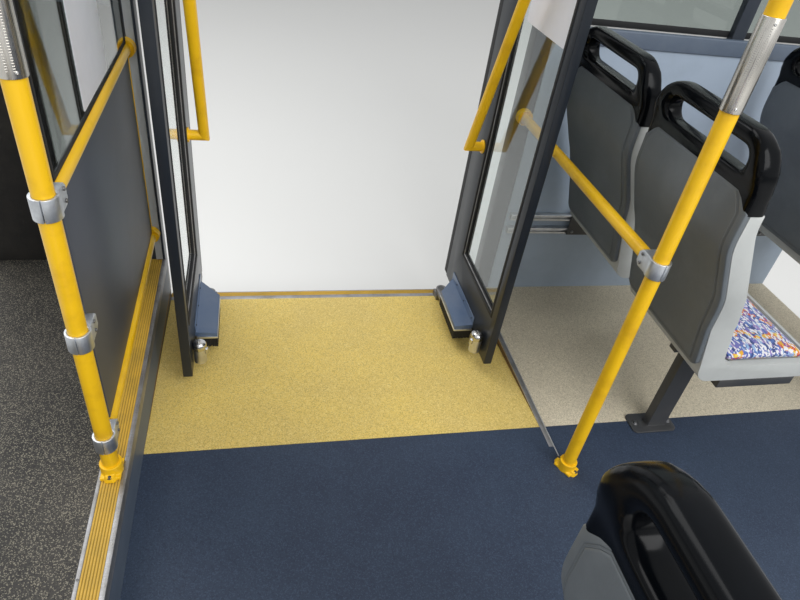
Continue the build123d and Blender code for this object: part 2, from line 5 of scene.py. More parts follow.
import bmesh
import bpy
from mathutils import Euler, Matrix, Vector

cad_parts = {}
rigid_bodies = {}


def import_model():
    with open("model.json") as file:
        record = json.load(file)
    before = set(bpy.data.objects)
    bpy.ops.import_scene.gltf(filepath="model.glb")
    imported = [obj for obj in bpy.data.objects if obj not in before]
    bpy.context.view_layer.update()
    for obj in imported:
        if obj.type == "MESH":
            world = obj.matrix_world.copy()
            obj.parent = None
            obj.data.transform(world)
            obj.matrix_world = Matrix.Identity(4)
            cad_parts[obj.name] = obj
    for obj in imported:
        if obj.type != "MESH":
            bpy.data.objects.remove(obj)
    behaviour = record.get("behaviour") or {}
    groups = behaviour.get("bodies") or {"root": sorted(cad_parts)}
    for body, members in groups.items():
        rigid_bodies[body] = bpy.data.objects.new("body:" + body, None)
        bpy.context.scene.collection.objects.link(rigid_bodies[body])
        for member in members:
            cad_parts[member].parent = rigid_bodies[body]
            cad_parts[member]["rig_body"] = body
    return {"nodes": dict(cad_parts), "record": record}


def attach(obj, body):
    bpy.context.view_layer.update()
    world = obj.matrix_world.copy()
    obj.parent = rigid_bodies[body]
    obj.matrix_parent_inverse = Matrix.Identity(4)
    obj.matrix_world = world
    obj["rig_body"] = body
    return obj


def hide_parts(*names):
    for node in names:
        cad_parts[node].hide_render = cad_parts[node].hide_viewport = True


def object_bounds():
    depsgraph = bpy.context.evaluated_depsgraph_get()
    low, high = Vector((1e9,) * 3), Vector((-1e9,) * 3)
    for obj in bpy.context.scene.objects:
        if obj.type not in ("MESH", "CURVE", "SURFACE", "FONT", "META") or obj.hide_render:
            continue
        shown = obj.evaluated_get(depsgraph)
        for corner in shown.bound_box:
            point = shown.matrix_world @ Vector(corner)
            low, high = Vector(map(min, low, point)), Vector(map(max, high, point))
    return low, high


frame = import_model()
CAD_BOX = [list(corner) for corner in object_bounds()]
MM = 0.001
SHARP_DEG = 35
SHARP = math.radians(SHARP_DEG)
UP = (0, 0, 1)

# The camera that took the photo: inside the bus, above the aisle, looking down across it.
CAMERA_PLACE = (-0.700, -0.900, 1.670)
CAMERA_TURN_DEG = (52.4716, -7.1925, -10.8834)
LENS_MM = 27.76
SENSOR_MM = 36.0

SEATS = {
    "front_aisle": (0.300, 0.270),
    "front_window": (0.300, 0.740),
    "next_aisle": (1.060, 0.270),
    "next_window": (1.060, 0.740),
    "rear": (-0.370, -0.800),
}


def linear(hex_colour):
    """An sRGB hex colour as the linear values that a shader socket takes."""
    channels = [int(hex_colour[i:i + 2], 16) / 255 for i in (1, 3, 5)]
    channels = [c / 12.92 if c <= 0.04045 else ((c + 0.055) / 1.055) ** 2.4 for c in channels]
    return (*channels, 1.0)


def per_mm(size):
    """The scale of a texture whose features are this many millimetres across."""
    return 1000.0 / size


def add(tree, kind, sockets=None, stops=None, **settings):
    """Adds a node with its settings. A socket takes a value, or a link given as (node, output)."""
    node = tree.nodes.new(kind)
    for name, value in settings.items():
        setattr(node, name, value)
    if stops:
        while len(node.color_ramp.elements) < len(stops):
            node.color_ramp.elements.new(1.0)
        for element, (place, colour) in zip(node.color_ramp.elements, stops):
            element.position = place
            element.color = linear(colour)
    for name, value in (sockets or {}).items():
        socket = node.inputs[name]
        if isinstance(value, tuple) and isinstance(value[0], bpy.types.Node):
            tree.links.new(value[0].outputs[value[1]], socket)
        else:
            socket.default_value = value
    return node


def finish(name, values):
    """A material with its shader's constants set, its node tree, shader and Object coordinates."""
    material = bpy.data.materials.new(name)
    material.use_nodes = True
    tree = material.node_tree
    shader = tree.nodes["Principled BSDF"]
    for socket, value in values.items():
        shader.inputs[socket].default_value = value
    coordinates = add(tree, "ShaderNodeTexCoord")
    return material, tree, shader, (coordinates, "Object")


def drive(tree, shader, colour, gloss=None):
    """Links a mix to the shader's colour and a range to its roughness."""
    tree.links.new(colour.outputs[2], shader.inputs["Base Color"])
    if gloss:
        tree.links.new(gloss.outputs["Result"], shader.inputs["Roughness"])


def bump(tree, shader, height, strength, depth_mm):
    """Gives the surface its relief from a height between 0 and 1."""
    relief = add(tree, "ShaderNodeBump", {
        "Height": height, "Strength": strength, "Distance": depth_mm / 1000})
    tree.links.new(relief.outputs["Normal"], shader.inputs["Normal"])


# Safety vinyl: calendered PVC with quartz and coloured chips rolled into its face.
# The eye gets a flat matt colour with a soft fine speckle, duller where feet have passed.
# Real chips are about 1 mm; they are drawn at 2.5 mm so that they show from standing height.
def safety_vinyl(name, base, worn, pale, dark, strength=0.55, share=0.22, fleck_mm=2.5):
    material, tree, shader, at = finish(name, {"Roughness": 0.62, "IOR": 1.52, "Specular IOR Level": 0.35})
    chips = add(tree, "ShaderNodeTexVoronoi", {
        "Vector": at, "Scale": per_mm(fleck_mm), "Randomness": 1.0})
    lot = add(tree, "ShaderNodeSeparateColor", {"Color": (chips, "Color")})
    traffic = add(tree, "ShaderNodeTexNoise", {
        "Vector": at, "Scale": per_mm(380), "Detail": 6.0, "Roughness": 0.62})
    wear = add(tree, "ShaderNodeMapRange", {
        "Value": (traffic, "Fac"), "From Min": 0.38, "From Max": 0.66})
    ground = add(tree, "ShaderNodeMix", {
        "Factor": (wear, "Result"), 6: linear(base), 7: linear(worn)}, data_type="RGBA")
    is_pale = add(tree, "ShaderNodeMath", {0: (lot, "Red"), 1: share}, operation="LESS_THAN")
    is_dark = add(tree, "ShaderNodeMath", {0: (lot, "Green"), 1: share}, operation="LESS_THAN")
    pale_part = add(tree, "ShaderNodeMath", {0: (is_pale, "Value"), 1: strength}, operation="MULTIPLY")
    dark_part = add(tree, "ShaderNodeMath", {0: (is_dark, "Value"), 1: strength}, operation="MULTIPLY")
    with_pale = add(tree, "ShaderNodeMix", {
        "Factor": (pale_part, "Value"), 6: (ground, 2), 7: linear(pale)}, data_type="RGBA")
    with_dark = add(tree, "ShaderNodeMix", {
        "Factor": (dark_part, "Value"), 6: (with_pale, 2), 7: linear(dark)}, data_type="RGBA")
    drive(tree, shader, with_dark)
    bump(tree, shader, (lot, "Blue"), 0.25, 0.3)
    return material


# Polyester powder coat, sprayed and baked on steel tube: an even satin skin with a faint
# orange peel, rubbed a little darker and duller by hands and boots.
def powder_coat(name, base, rubbed, rough=(0.28, 0.42)):
    material, tree, shader, at = finish(name, {"IOR": 1.50, "Specular IOR Level": 0.4})
    hands = add(tree, "ShaderNodeTexNoise", {
        "Vector": at, "Scale": per_mm(90), "Detail": 4.0, "Roughness": 0.6})
    grime = add(tree, "ShaderNodeMapRange", {
        "Value": (hands, "Fac"), "From Min": 0.50, "From Max": 0.80, "To Max": 0.75})
    colour = add(tree, "ShaderNodeMix", {
        "Factor": (grime, "Result"), 6: linear(base), 7: linear(rubbed)}, data_type="RGBA")
    gloss = add(tree, "ShaderNodeMapRange", {
        "Value": (hands, "Fac"), "To Min": rough[0], "To Max": rough[1]})
    peel = add(tree, "ShaderNodeTexNoise", {
        "Vector": at, "Scale": per_mm(4), "Detail": 2.0})
    drive(tree, shader, colour, gloss)
    bump(tree, shader, (peel, "Fac"), 0.12, 0.3)
    return material


# Injection-moulded or pressed plastic with a fine leather grain from the tool; it shows
# vague paler scuffs and slightly uneven gloss.
def moulded_plastic(name, base, scuffed, rough=(0.40, 0.58), grain_mm=2.5, relief=0.25, spread=0.5,
                    shine=0.5):
    material, tree, shader, at = finish(name, {"IOR": 1.49, "Specular IOR Level": shine})
    handling = add(tree, "ShaderNodeTexNoise", {
        "Vector": at, "Scale": per_mm(170), "Detail": 7.0, "Roughness": 0.66})
    scuff = add(tree, "ShaderNodeMapRange", {
        "Value": (handling, "Fac"), "From Min": 0.45, "From Max": 0.75, "To Max": spread})
    colour = add(tree, "ShaderNodeMix", {
        "Factor": (scuff, "Result"), 6: linear(base), 7: linear(scuffed)}, data_type="RGBA")
    gloss = add(tree, "ShaderNodeMapRange", {
        "Value": (handling, "Fac"), "To Min": rough[0], "To Max": rough[1]})
    grain = add(tree, "ShaderNodeTexVoronoi", {
        "Vector": at, "Scale": per_mm(grain_mm), "Randomness": 1.0},
        feature="SMOOTH_F1")
    drive(tree, shader, colour, gloss)
    bump(tree, shader, (grain, "Distance"), relief, 0.3)
    return material


# Bare metal with the fine streaks of the die, brush or polish that made it. The streaks run
# along one axis and are drawn about 2 mm apart.
def streaked_metal(name, base, dulled, rough, along="X", streak_mm=2.0, relief=0.15):
    material, tree, shader, at = finish(name, {"Metallic": 1.0})
    squeeze = {"X": (0.02, 1.0, 1.0), "Y": (1.0, 0.02, 1.0), "Z": (1.0, 1.0, 0.02)}[along]
    drawn = add(tree, "ShaderNodeMapping", {"Vector": at, "Scale": squeeze})
    streaks = add(tree, "ShaderNodeTexNoise", {
        "Vector": (drawn, "Vector"), "Scale": per_mm(streak_mm), "Detail": 3.0})
    tarnish = add(tree, "ShaderNodeTexNoise", {
        "Vector": at, "Scale": per_mm(60), "Detail": 5.0, "Roughness": 0.65})
    dull = add(tree, "ShaderNodeMapRange", {
        "Value": (tarnish, "Fac"), "From Min": 0.42, "From Max": 0.72})
    colour = add(tree, "ShaderNodeMix", {
        "Factor": (dull, "Result"), 6: linear(base), 7: linear(dulled)}, data_type="RGBA")
    gloss = add(tree, "ShaderNodeMapRange", {
        "Value": (streaks, "Fac"), "From Min": 0.3, "From Max": 0.7,
        "To Min": rough[0], "To Max": rough[1]})
    drive(tree, shader, colour, gloss)
    bump(tree, shader, (streaks, "Fac"), relief, 0.2)
    return material


# Sprayed paint on a flat panel: smooth, with road dust that gathers in soft clouds.
def sprayed_paint(name, base, dust, rough=(0.30, 0.45), veil_share=0.6, shine=0.5):
    material, tree, shader, at = finish(name, {
        "IOR": 1.50, "Specular IOR Level": shine, "Coat Weight": shine * 0.3, "Coat Roughness": 0.2})
    clouds = add(tree, "ShaderNodeTexNoise", {
        "Vector": at, "Scale": per_mm(240), "Detail": 6.0, "Roughness": 0.6})
    veil = add(tree, "ShaderNodeMapRange", {
        "Value": (clouds, "Fac"), "From Min": 0.45, "From Max": 0.80, "To Max": veil_share})
    colour = add(tree, "ShaderNodeMix", {
        "Factor": (veil, "Result"), 6: linear(base), 7: linear(dust)}, data_type="RGBA")
    gloss = add(tree, "ShaderNodeMapRange", {
        "Value": (clouds, "Fac"), "To Min": rough[0], "To Max": rough[1]})
    peel = add(tree, "ShaderNodeTexNoise", {
        "Vector": at, "Scale": per_mm(5), "Detail": 2.0})
    drive(tree, shader, colour, gloss)
    bump(tree, shader, (peel, "Fac"), 0.08, 0.3)
    return material


# Toughened float glass: clear, faintly green or smoked, with a thin veil of dust that only
# changes how sharp it reflects.
def pane_glass(name, tint):
    material, tree, shader, at = finish(name, {
        "Base Color": linear(tint), "IOR": 1.45, "Transmission Weight": 1.0})
    wiped = add(tree, "ShaderNodeTexNoise", {
        "Vector": at, "Scale": per_mm(140), "Detail": 4.0})
    veil = add(tree, "ShaderNodeMapRange", {
        "Value": (wiped, "Fac"), "From Min": 0.45, "From Max": 0.9, "To Max": 0.05})
    tree.links.new(veil.outputs["Result"], shader.inputs["Roughness"])
    return material


# Phenolic-faced plywood: brown film over the sheets, with the ply grain along the bus.
def film_plywood(name, base, grain_colour):
    material, tree, shader, at = finish(name, {"Roughness": 0.55, "IOR": 1.5})
    laid = add(tree, "ShaderNodeMapping", {"Vector": at, "Scale": (0.06, 1.0, 1.0)})
    grain = add(tree, "ShaderNodeTexNoise", {
        "Vector": (laid, "Vector"), "Scale": per_mm(6), "Detail": 6.0, "Distortion": 0.4})
    tone = add(tree, "ShaderNodeValToRGB", {"Fac": (grain, "Fac")},
               stops=[(0.35, base), (0.70, grain_colour)])
    tree.links.new(tone.outputs["Color"], shader.inputs["Base Color"])
    bump(tree, shader, (grain, "Fac"), 0.2, 0.3)
    return material


# Wool moquette, cut pile on a woven ground: short dabs of yarn in patches of warm and of cool
# colours, strewn with white, soft to the edge, with the loom's ribs 2.5 mm apart. The dabs are
# about 8 mm long.
def seat_moquette():
    material, tree, shader, at = finish("wool_moquette", {
        "Roughness": 0.88, "IOR": 1.5, "Sheen Weight": 0.25, "Sheen Roughness": 0.5})
    wobble = add(tree, "ShaderNodeTexNoise", {
        "Vector": at, "Scale": per_mm(22), "Detail": 3.0})
    push = add(tree, "ShaderNodeVectorMath", {
        0: (wobble, "Color"), "Scale": 0.016}, operation="SCALE")
    moved = add(tree, "ShaderNodeVectorMath", {
        0: at, 1: (push, "Vector")}, operation="ADD")
    slanted = add(tree, "ShaderNodeMapping", {
        "Vector": (moved, "Vector"), "Rotation": (0.5, 0.3, 0.7), "Scale": (1.0, 0.5, 1.0)})
    dabs = add(tree, "ShaderNodeTexVoronoi", {
        "Vector": (slanted, "Vector"), "Scale": per_mm(8), "Randomness": 1.0})
    lot = add(tree, "ShaderNodeSeparateColor", {"Color": (dabs, "Color")})
    warm = add(tree, "ShaderNodeValToRGB", {"Fac": (lot, "Red")}, stops=[
        (0.0, "#D9A22E"), (0.26, "#D5702F"), (0.48, "#C23B34"), (0.66, "#E3C452"), (0.84, "#7B4A94")])
    warm.color_ramp.interpolation = "CONSTANT"
    cool = add(tree, "ShaderNodeValToRGB", {"Fac": (lot, "Red")}, stops=[
        (0.0, "#4C6BAE"), (0.24, "#6A6CB0"), (0.46, "#35467F"), (0.66, "#8FAFD6"), (0.84, "#9480B8")])
    cool.color_ramp.interpolation = "CONSTANT"
    patches = add(tree, "ShaderNodeTexNoise", {
        "Vector": at, "Scale": per_mm(85), "Detail": 2.0})
    is_warm = add(tree, "ShaderNodeMath", {0: (patches, "Fac"), 1: 0.53}, operation="GREATER_THAN")
    family = add(tree, "ShaderNodeMix", {
        "Factor": (is_warm, "Value"), 6: (cool, "Color"), 7: (warm, "Color")}, data_type="RGBA")
    flecks = add(tree, "ShaderNodeTexVoronoi", {
        "Vector": (slanted, "Vector"), "Scale": per_mm(5), "Randomness": 1.0})
    fleck_lot = add(tree, "ShaderNodeSeparateColor", {"Color": (flecks, "Color")})
    is_white = add(tree, "ShaderNodeMath", {0: (fleck_lot, "Blue"), 1: 0.34}, operation="LESS_THAN")
    colour = add(tree, "ShaderNodeMix", {
        "Factor": (is_white, "Value"), 6: (family, 2), 7: linear("#DFDEE2")}, data_type="RGBA")
    ribs = add(tree, "ShaderNodeTexWave", {
        "Vector": at, "Scale": per_mm(2.5) / 20, "Distortion": 1.5, "Detail": 2.0},
        bands_direction="Y")
    drive(tree, shader, colour)
    bump(tree, shader, (ribs, "Fac"), 0.35, 0.5)
    return material


FINISHES = {
    "frame_steel": sprayed_paint("chassis_paint", "#2B2D31", "#5A544A", (0.45, 0.65)),
    "plywood": film_plywood("film_faced_plywood", "#8A6A45", "#5C452C"),
    "navy_vinyl": safety_vinyl("navy_safety_vinyl", "#2A3548", "#323F52", "#445268", "#202A3A", 0.45),
    "yellow_vinyl": safety_vinyl("yellow_safety_vinyl", "#E6C96C", "#D6BC6E", "#F0DC94", "#AE9650", 0.6),
    "beige_vinyl": safety_vinyl("beige_safety_vinyl", "#D3C9B1", "#C3B9A3", "#E6DCC6", "#9C927E", 0.6),
    "black_vinyl": safety_vinyl("black_safety_vinyl", "#292827", "#45423E", "#96907F", "#141415",
                                0.65, 0.22, 2.0),
    "aluminium_profile": streaked_metal("mill_aluminium", "#A3A3A5", "#86847F", (0.46, 0.60)),
    "yellow_insert": moulded_plastic("yellow_tread_strip", "#CBA23A", "#A08434", spread=0.9),
    "body_paint": sprayed_paint("white_body_paint", "#D8D8D5", "#CBC7BC", (0.18, 0.34), 0.5),
    "wall_lining": moulded_plastic("wall_laminate", "#9FADBD", "#8B98A6", (0.35, 0.5)),
    "trim_grey": moulded_plastic("grey_trim", "#566272", "#6C7683"),
    "post_grey": moulded_plastic("light_grey_cover", "#A9ACAE", "#8E9090"),
    "window_pane": pane_glass("tinted_toughened_glass", "#C2CCC8"),
    "clear_pane": pane_glass("clear_toughened_glass", "#EDF4F2"),
    "screen_laminate": moulded_plastic("screen_laminate_sheet", "#3F4550", "#50555F", (0.38, 0.5),
                                       3.0, 0.1, 0.35),
    "yellow_coat": powder_coat("yellow_powder_coat", "#F4C218", "#CE9A1C"),
    "clamp_silver": streaked_metal("tumbled_casting", "#D3D7DC", "#B4B8BD", (0.36, 0.52), "Z", 3.0),
    "ribbed_steel": streaked_metal("stainless_sleeve", "#C9C6C0", "#BBB7B0", (0.22, 0.32), "Z", 1.6, 0.08),
    "leaf_dark": sprayed_paint("charcoal_leaf_paint", "#23282F", "#34373B", (0.26, 0.40), 0.6, 0.22),
    "door_rubber": moulded_plastic("epdm_rubber", "#17181A", "#2C2D2E", (0.6, 0.8)),
    "brush_black": moulded_plastic("nylon_bristle", "#101012", "#222326", (0.6, 0.8)),
    "guard_metal": sprayed_paint("blue_grey_guard_paint", "#4D6280", "#77818F", (0.25, 0.4)),
    "bolt_chrome": streaked_metal("chrome_plate", "#D2D3D4", "#AFAAA2", (0.12, 0.24), "Z", 4.0, 0.05),
    "shell_grey": moulded_plastic("dark_grey_shell", "#5F656A", "#7B8185", (0.36, 0.52)),
    "liner_grey": moulded_plastic("pale_grey_liner", "#BDC0BE", "#A3A6A3", (0.36, 0.52)),
    "handle_black": moulded_plastic("black_gloss_handle", "#06080B", "#0D1015", (0.12, 0.22),
                                    2.0, 0.02, 0.5, 0.12),
    "seat_fabric": seat_moquette(),
    "seat_steel": sprayed_paint("dark_seat_frame_paint", "#3A3B3D", "#54524E", (0.3, 0.5)),
    "gear_steel": streaked_metal("machined_gear_steel", "#8A8B8D", "#6A6762", (0.3, 0.5), "Z", 3.0),
}

# Looks of single pieces that differ from the finish of their slot.
LOOKS = {
    # The tread strips' ground: darker yellow-brown, partly dirt, partly painted shade in the grooves
    # between the ribs.
    "groove_shade_and_dirt": moulded_plastic("groove_dirt_and_painted_shade", "#A0822C", "#7A6830", (0.7, 0.85),
                                      spread=0.9),
    "notice_film": moulded_plastic("white_notice_film", "#E6E7EE", "#D6D7DE", (0.35, 0.5), 3.0, 0.05),
    # A brighter copy of the aluminium for tracks, channels, a strip edge and the bolt sleeve: partly a
    # brighter finish, partly painted light for the sun on these parts.
    "sunlit_bright_aluminium": streaked_metal("bright_aluminium_with_painted_light", "#DADBDC", "#BFBFBD", (0.34, 0.48)),
    "dark_post": sprayed_paint("slate_post_paint", "#30363F", "#43474C", (0.30, 0.45), 0.6, 0.25),
    # A dark matt sheet on the lining behind the screen: painted shade.
    "painted_shade_sheet": moulded_plastic("dark_sheet_painted_shade", "#2B2A29", "#3B3935", (0.85, 0.95),
                                   3.5, 0.6, 0.8, 0.1),
}
SLOT_OF = {row["node"]: row["material_slot"] for row in frame["record"]["subparts"]}


def show_in(piece, slot, look=None):
    """Gives a piece the finish of a material slot, or a look of its own in that slot."""
    piece.data.materials.clear()
    piece.data.materials.append(LOOKS[look] if look else FINISHES[slot])


def alone(piece):
    """Makes a piece the only selected and active object."""
    bpy.ops.object.select_all(action="DESELECT")
    piece.select_set(True)
    bpy.context.view_layer.objects.active = piece


@contextmanager
def editing(piece):
    """Opens a piece in edit mode and closes it after its shaping."""
    alone(piece)
    bpy.ops.object.mode_set(mode="EDIT")
    yield
    bpy.ops.object.mode_set(mode="OBJECT")


def pick(piece, kind, test):
    """In edit mode, selects the faces, edges or verts that pass the test."""
    mesh = bmesh.from_edit_mesh(piece.data)
    bpy.ops.mesh.select_mode(type={"faces": "FACE", "edges": "EDGE", "verts": "VERT"}[kind])
    bpy.ops.mesh.select_all(action="DESELECT")
    for item in getattr(mesh, kind):
        item.select = bool(test(item))
    mesh.select_flush_mode()
    bmesh.update_edit_mesh(piece.data)


def slide(x=0.0, y=0.0, z=0.0):
    """Moves what is picked, in millimetres."""
    bpy.ops.transform.translate(value=(x * MM, y * MM, z * MM))


def stretch(factors, middle=None):
    """Resizes what is picked, about its own middle or about a given point."""
    if middle is None:
        bpy.ops.transform.resize(value=factors)
    else:
        bpy.ops.transform.resize(value=factors, center_override=middle)


def inset(width_mm, height_mm=0.0, each=False):
    """Insets the picked faces as a whole or each by itself, and raises them."""
    bpy.ops.mesh.inset(thickness=width_mm * MM, depth=height_mm * MM, use_individual=each)


def settle(piece):
    """Puts a piece's place into its mesh."""
    alone(piece)
    bpy.ops.object.transform_apply(location=True, rotation=True, scale=True)


def block(name, low, high):
    """A block between two corners, the start of a shaped piece."""
    bpy.ops.object.select_all(action="DESELECT")
    middle = [(a + b) / 2 for a, b in zip(low, high)]
    bpy.ops.mesh.primitive_cube_add(size=1, location=middle)
    piece = bpy.context.active_object
    piece.name = name
    piece.scale = [b - a for a, b in zip(low, high)]
    settle(piece)
    return piece


def rod(name, radius, start, length, axis="Z", sides=24):
    """A rod from its start along an axis, the start of a shaped piece."""
    bpy.ops.object.select_all(action="DESELECT")
    along = {"X": (1, 0, 0), "Y": (0, 1, 0), "Z": (0, 0, 1)}[axis]
    turn = {"X": (0, math.pi / 2, 0), "Y": (-math.pi / 2, 0, 0), "Z": (0, 0, 0)}[axis]
    middle = [s + a * length / 2 for s, a in zip(start, along)]
    bpy.ops.mesh.primitive_cylinder_add(
        vertices=sides, radius=radius, depth=length, location=middle, rotation=turn)
    piece = bpy.context.active_object
    piece.name = name
    settle(piece)
    return piece


def apply_modifier(piece, kind, **settings):
    """Adds a modifier with its settings and applies it."""
    alone(piece)
    modifier = piece.modifiers.new("shape", kind)
    for name, value in settings.items():
        setattr(modifier, name, value)
    bpy.ops.object.modifier_apply(modifier=modifier.name)


def round_edges(piece, width_mm, segments=2, angle=40):
    """Rounds a piece's sharp edges and shades it smoothly between them."""
    apply_modifier(piece, "BEVEL", width=width_mm * MM, segments=segments, limit_method="ANGLE",
                   angle_limit=math.radians(angle), use_clamp_overlap=False, harden_normals=False)
    bpy.ops.object.shade_smooth_by_angle(angle=math.radians(angle))


def take_copy(node, name):
    """A merged copy of a CAD node as a new piece, with its flat faces joined."""
    source = frame["nodes"][node]
    piece = bpy.data.objects.new(name, source.data.copy())
    bpy.context.scene.collection.objects.link(piece)
    with editing(piece):
        bpy.ops.mesh.select_all(action="SELECT")
        bpy.ops.mesh.remove_doubles(threshold=0.00002)
        bpy.ops.mesh.dissolve_limited(angle_limit=math.radians(0.05))
    return piece


def place(piece, body, slot, look=None):
    """Finishes a new piece: it rides on its body and takes its slot's finish."""
    show_in(piece, slot, look)
    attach(piece, body)


def copy_at(piece, name, shift):
    """A copy of a piece with its own mesh, moved."""
    twin = piece.copy()
    twin.data = piece.data.copy()
    twin.name = name
    bpy.context.scene.collection.objects.link(twin)
    twin.location = shift
    settle(twin)
    return twin


def join(pieces, name):
    """Joins pieces into one."""
    bpy.ops.object.select_all(action="DESELECT")
    for piece in pieces:
        piece.select_set(True)
    bpy.context.view_layer.objects.active = pieces[0]
    bpy.ops.object.join()
    pieces[0].name = name
    return pieces[0]


# The camera, the floor, the backdrop light and the lamps.
camera_data = bpy.data.cameras.new("photo_camera")
camera_data.lens = LENS_MM
camera_data.sensor_width = SENSOR_MM
camera_data.clip_start = 0.05
camera = bpy.data.objects.new("photo_camera", camera_data)
camera.location = CAMERA_PLACE
camera.rotation_euler = Euler([math.radians(a) for a in CAMERA_TURN_DEG])
bpy.context.scene.collection.objects.link(camera)
bpy.context.scene.camera = camera

bpy.ops.object.select_all(action="DESELECT")
bpy.ops.mesh.primitive_plane_add(size=40, location=(0, 0, CAD_BOX[0][2]))
floor = bpy.context.active_object
floor.name = "studio_floor"
settle(floor)
paper = finish("pale_studio_paper", {
    "Base Color": linear("#E4E4E2"), "Roughness": 0.9, "Specular IOR Level": 0.2})
floor.data.materials.append(paper[0])

world = bpy.data.worlds.new("studio")
bpy.context.scene.world = world
world.use_nodes = True
sky = world.node_tree
path = add(sky, "ShaderNodeLightPath")
seen = add(sky, "ShaderNodeMath", {
    0: (path, "Is Camera Ray"), 1: (path, "Is Transmission Ray")}, operation="MAXIMUM")
seen_or_mirrored = add(sky, "ShaderNodeMath", {
    0: (seen, "Value"), 1: (path, "Is Glossy Ray")}, operation="MAXIMUM")
level = add(sky, "ShaderNodeMapRange", {
    "Value": (seen_or_mirrored, "Value"), "To Min": 0.58, "To Max": 0.9})
backdrop = sky.nodes["Background"]
backdrop.inputs["Color"].default_value = linear("#F4F5F6")
sky.links.new(level.outputs["Result"], backdrop.inputs["Strength"])


def lamp(name, where, towards, size, watts):
    """A soft square lamp, aimed at a point."""
    light = bpy.data.lights.new(name, "AREA")
    light.shape = "SQUARE"
    light.size = size
    light.energy = watts
    lit = bpy.data.objects.new(name, light)
    lit.location = where
    lit.rotation_euler = (Vector(towards) - Vector(where)).to_track_quat("-Z", "Y").to_euler()
    bpy.context.scene.collection.objects.link(lit)


lamp("soft_key", (-2.6, 2.2, 4.6), (-0.2, 0.4, 0.3), 3.4, 130)
lamp("soft_fill", (1.2, -3.4, 4.2), (0.0, 0.2, 0.6), 3.8, 230)

for node_name, node_object in frame["nodes"].items():
    show_in(node_object, SLOT_OF[node_name])


def body_of(node):
    """The body that a CAD node rides on."""
    return frame["nodes"][node]["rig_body"]


def soften(node, width_mm, segments=2, look=None):
    """Stands a copy with rounded edges in for a CAD node."""
    piece = take_copy(node, node + "_rounded")
    round_edges(piece, width_mm, segments, SHARP_DEG)
    place(piece, body_of(node), SLOT_OF[node], look)
    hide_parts(node)
    return piece


def cut(piece, tool):
    """Takes a tool's shape out of a piece."""
    apply_modifier(piece, "BOOLEAN", object=tool, solver="EXACT")
    bpy.data.objects.remove(tool)


def keep_part(piece, low, high):
    """Leaves only the solids of a merged copy whose points lie between two corners."""
    with editing(piece):
        pick(piece, "verts", lambda v: not all(a <= c <= b for a, c, b in zip(low, v.co, high)))
        bpy.ops.mesh.delete(type="VERT")


def bevel_where(piece, width_mm, segments, test):
    """Rounds the sharp outward edges that pass a test."""
    with editing(piece):
        pick(piece, "edges", lambda e: len(e.link_faces) == 2
             and e.calc_face_angle_signed() > SHARP and test(e))
        bpy.ops.mesh.bevel(offset=width_mm * MM, segments=segments, affect="EDGES", clamp_overlap=True)


def middle_of(edge):
    """The middle of an edge."""
    return (edge.verts[0].co + edge.verts[1].co) / 2


def upright(edge, low, high):
    """Whether an edge stands upright with a height between two values."""
    a, b = edge.verts[0].co, edge.verts[1].co
    return low < abs(a.z - b.z) < high and (a - b).xy.length < 1e-4


def ring(name, low, high, axis, width_mm):
    """A frame between two corners, open through its middle along an axis."""
    piece = block(name, low, high)
    with editing(piece):
        pick(piece, "faces", lambda f: abs(f.normal["XYZ".index(axis)]) > 0.9)
        inset(width_mm, each=True)
        bpy.ops.mesh.bridge_edge_loops()
    return piece


def repeat(piece, count, step):
    """Repeats a piece in a row, with a step between neighbours."""
    apply_modifier(piece, "ARRAY", count=count, use_relative_offset=False,
                   use_constant_offset=True, constant_offset_displace=step)


def turned(piece, axis, degrees, centre=(0, 0, 0)):
    """Turns a piece about a point and puts the turn into its mesh."""
    alone(piece)
    bpy.ops.transform.rotate(value=-math.radians(degrees), orient_axis=axis, center_override=centre)
    settle(piece)


# Screws and bolts: modelled once at the origin, standing on Z = 0 and looking up, then copied.
def pan_screw(radius_mm=4.0, height_mm=2.2):
    """A pan-head screw with a domed head and a cross recess."""
    head = rod("pan_screw", radius_mm * MM, (0, 0, 0), height_mm * MM, sides=16)
    with editing(head):
        pick(head, "faces", lambda f: f.normal.z > 0.9)
        inset(radius_mm * 0.45, radius_mm * 0.16)
        inset(radius_mm * 0.12)
        inset(radius_mm * 0.10, -radius_mm * 0.35)
    round_edges(head, radius_mm * 0.10, 1, 50)
    return head


def hex_bolt(radius_mm=6.5, height_mm=4.5):
    """A hexagon bolt on its washer."""
    head = rod("hex_bolt", radius_mm * MM, (0, 0, 1.5 * MM), height_mm * MM, sides=6)
    with editing(head):
        pick(head, "faces", lambda f: f.normal.z > 0.9)
        inset(radius_mm * 0.22, 0.5)
    washer = rod("washer", radius_mm * MM * 1.45, (0, 0, 0), 1.6 * MM, sides=20)
    both = join([head, washer], "hex_bolt")
    round_edges(both, 0.4, 1)
    return both


def fasten(pattern, name, spots, body, slot):
    """Copies a fastener to each spot, given as a place and the way that it faces."""
    copies = []
    for where, facing in spots:
        one = pattern.copy()
        one.data = pattern.data.copy()
        bpy.context.scene.collection.objects.link(one)
        one.rotation_euler = Vector(facing).to_track_quat("Z", "Y").to_euler()
        one.location = where
        settle(one)
        copies.append(one)
    every = join(copies, name)
    place(every, body, slot)
    return every


screw = pan_screw()
small_screw = pan_screw(2.8, 1.6)
bolt = hex_bolt()
foot_bolt = hex_bolt(4.2, 3.0)

# Stanchions: their places in plan, the rails between them and the wall, and the wall's face.
POST_Y = 0.125
REAR_POST = (-1.052, POST_Y)
FRONT_POST = (0.203, POST_Y)
POST_R = 0.019
COLLAR_R = 0.025
RAILS = {
    "rear_high": (REAR_POST[0], 1.080),
    "rear_low": (REAR_POST[0], 0.458),
    "front": (FRONT_POST[0], 0.940),
}
PANEL_CLAMP_Z = 0.774
WALL = 1.035

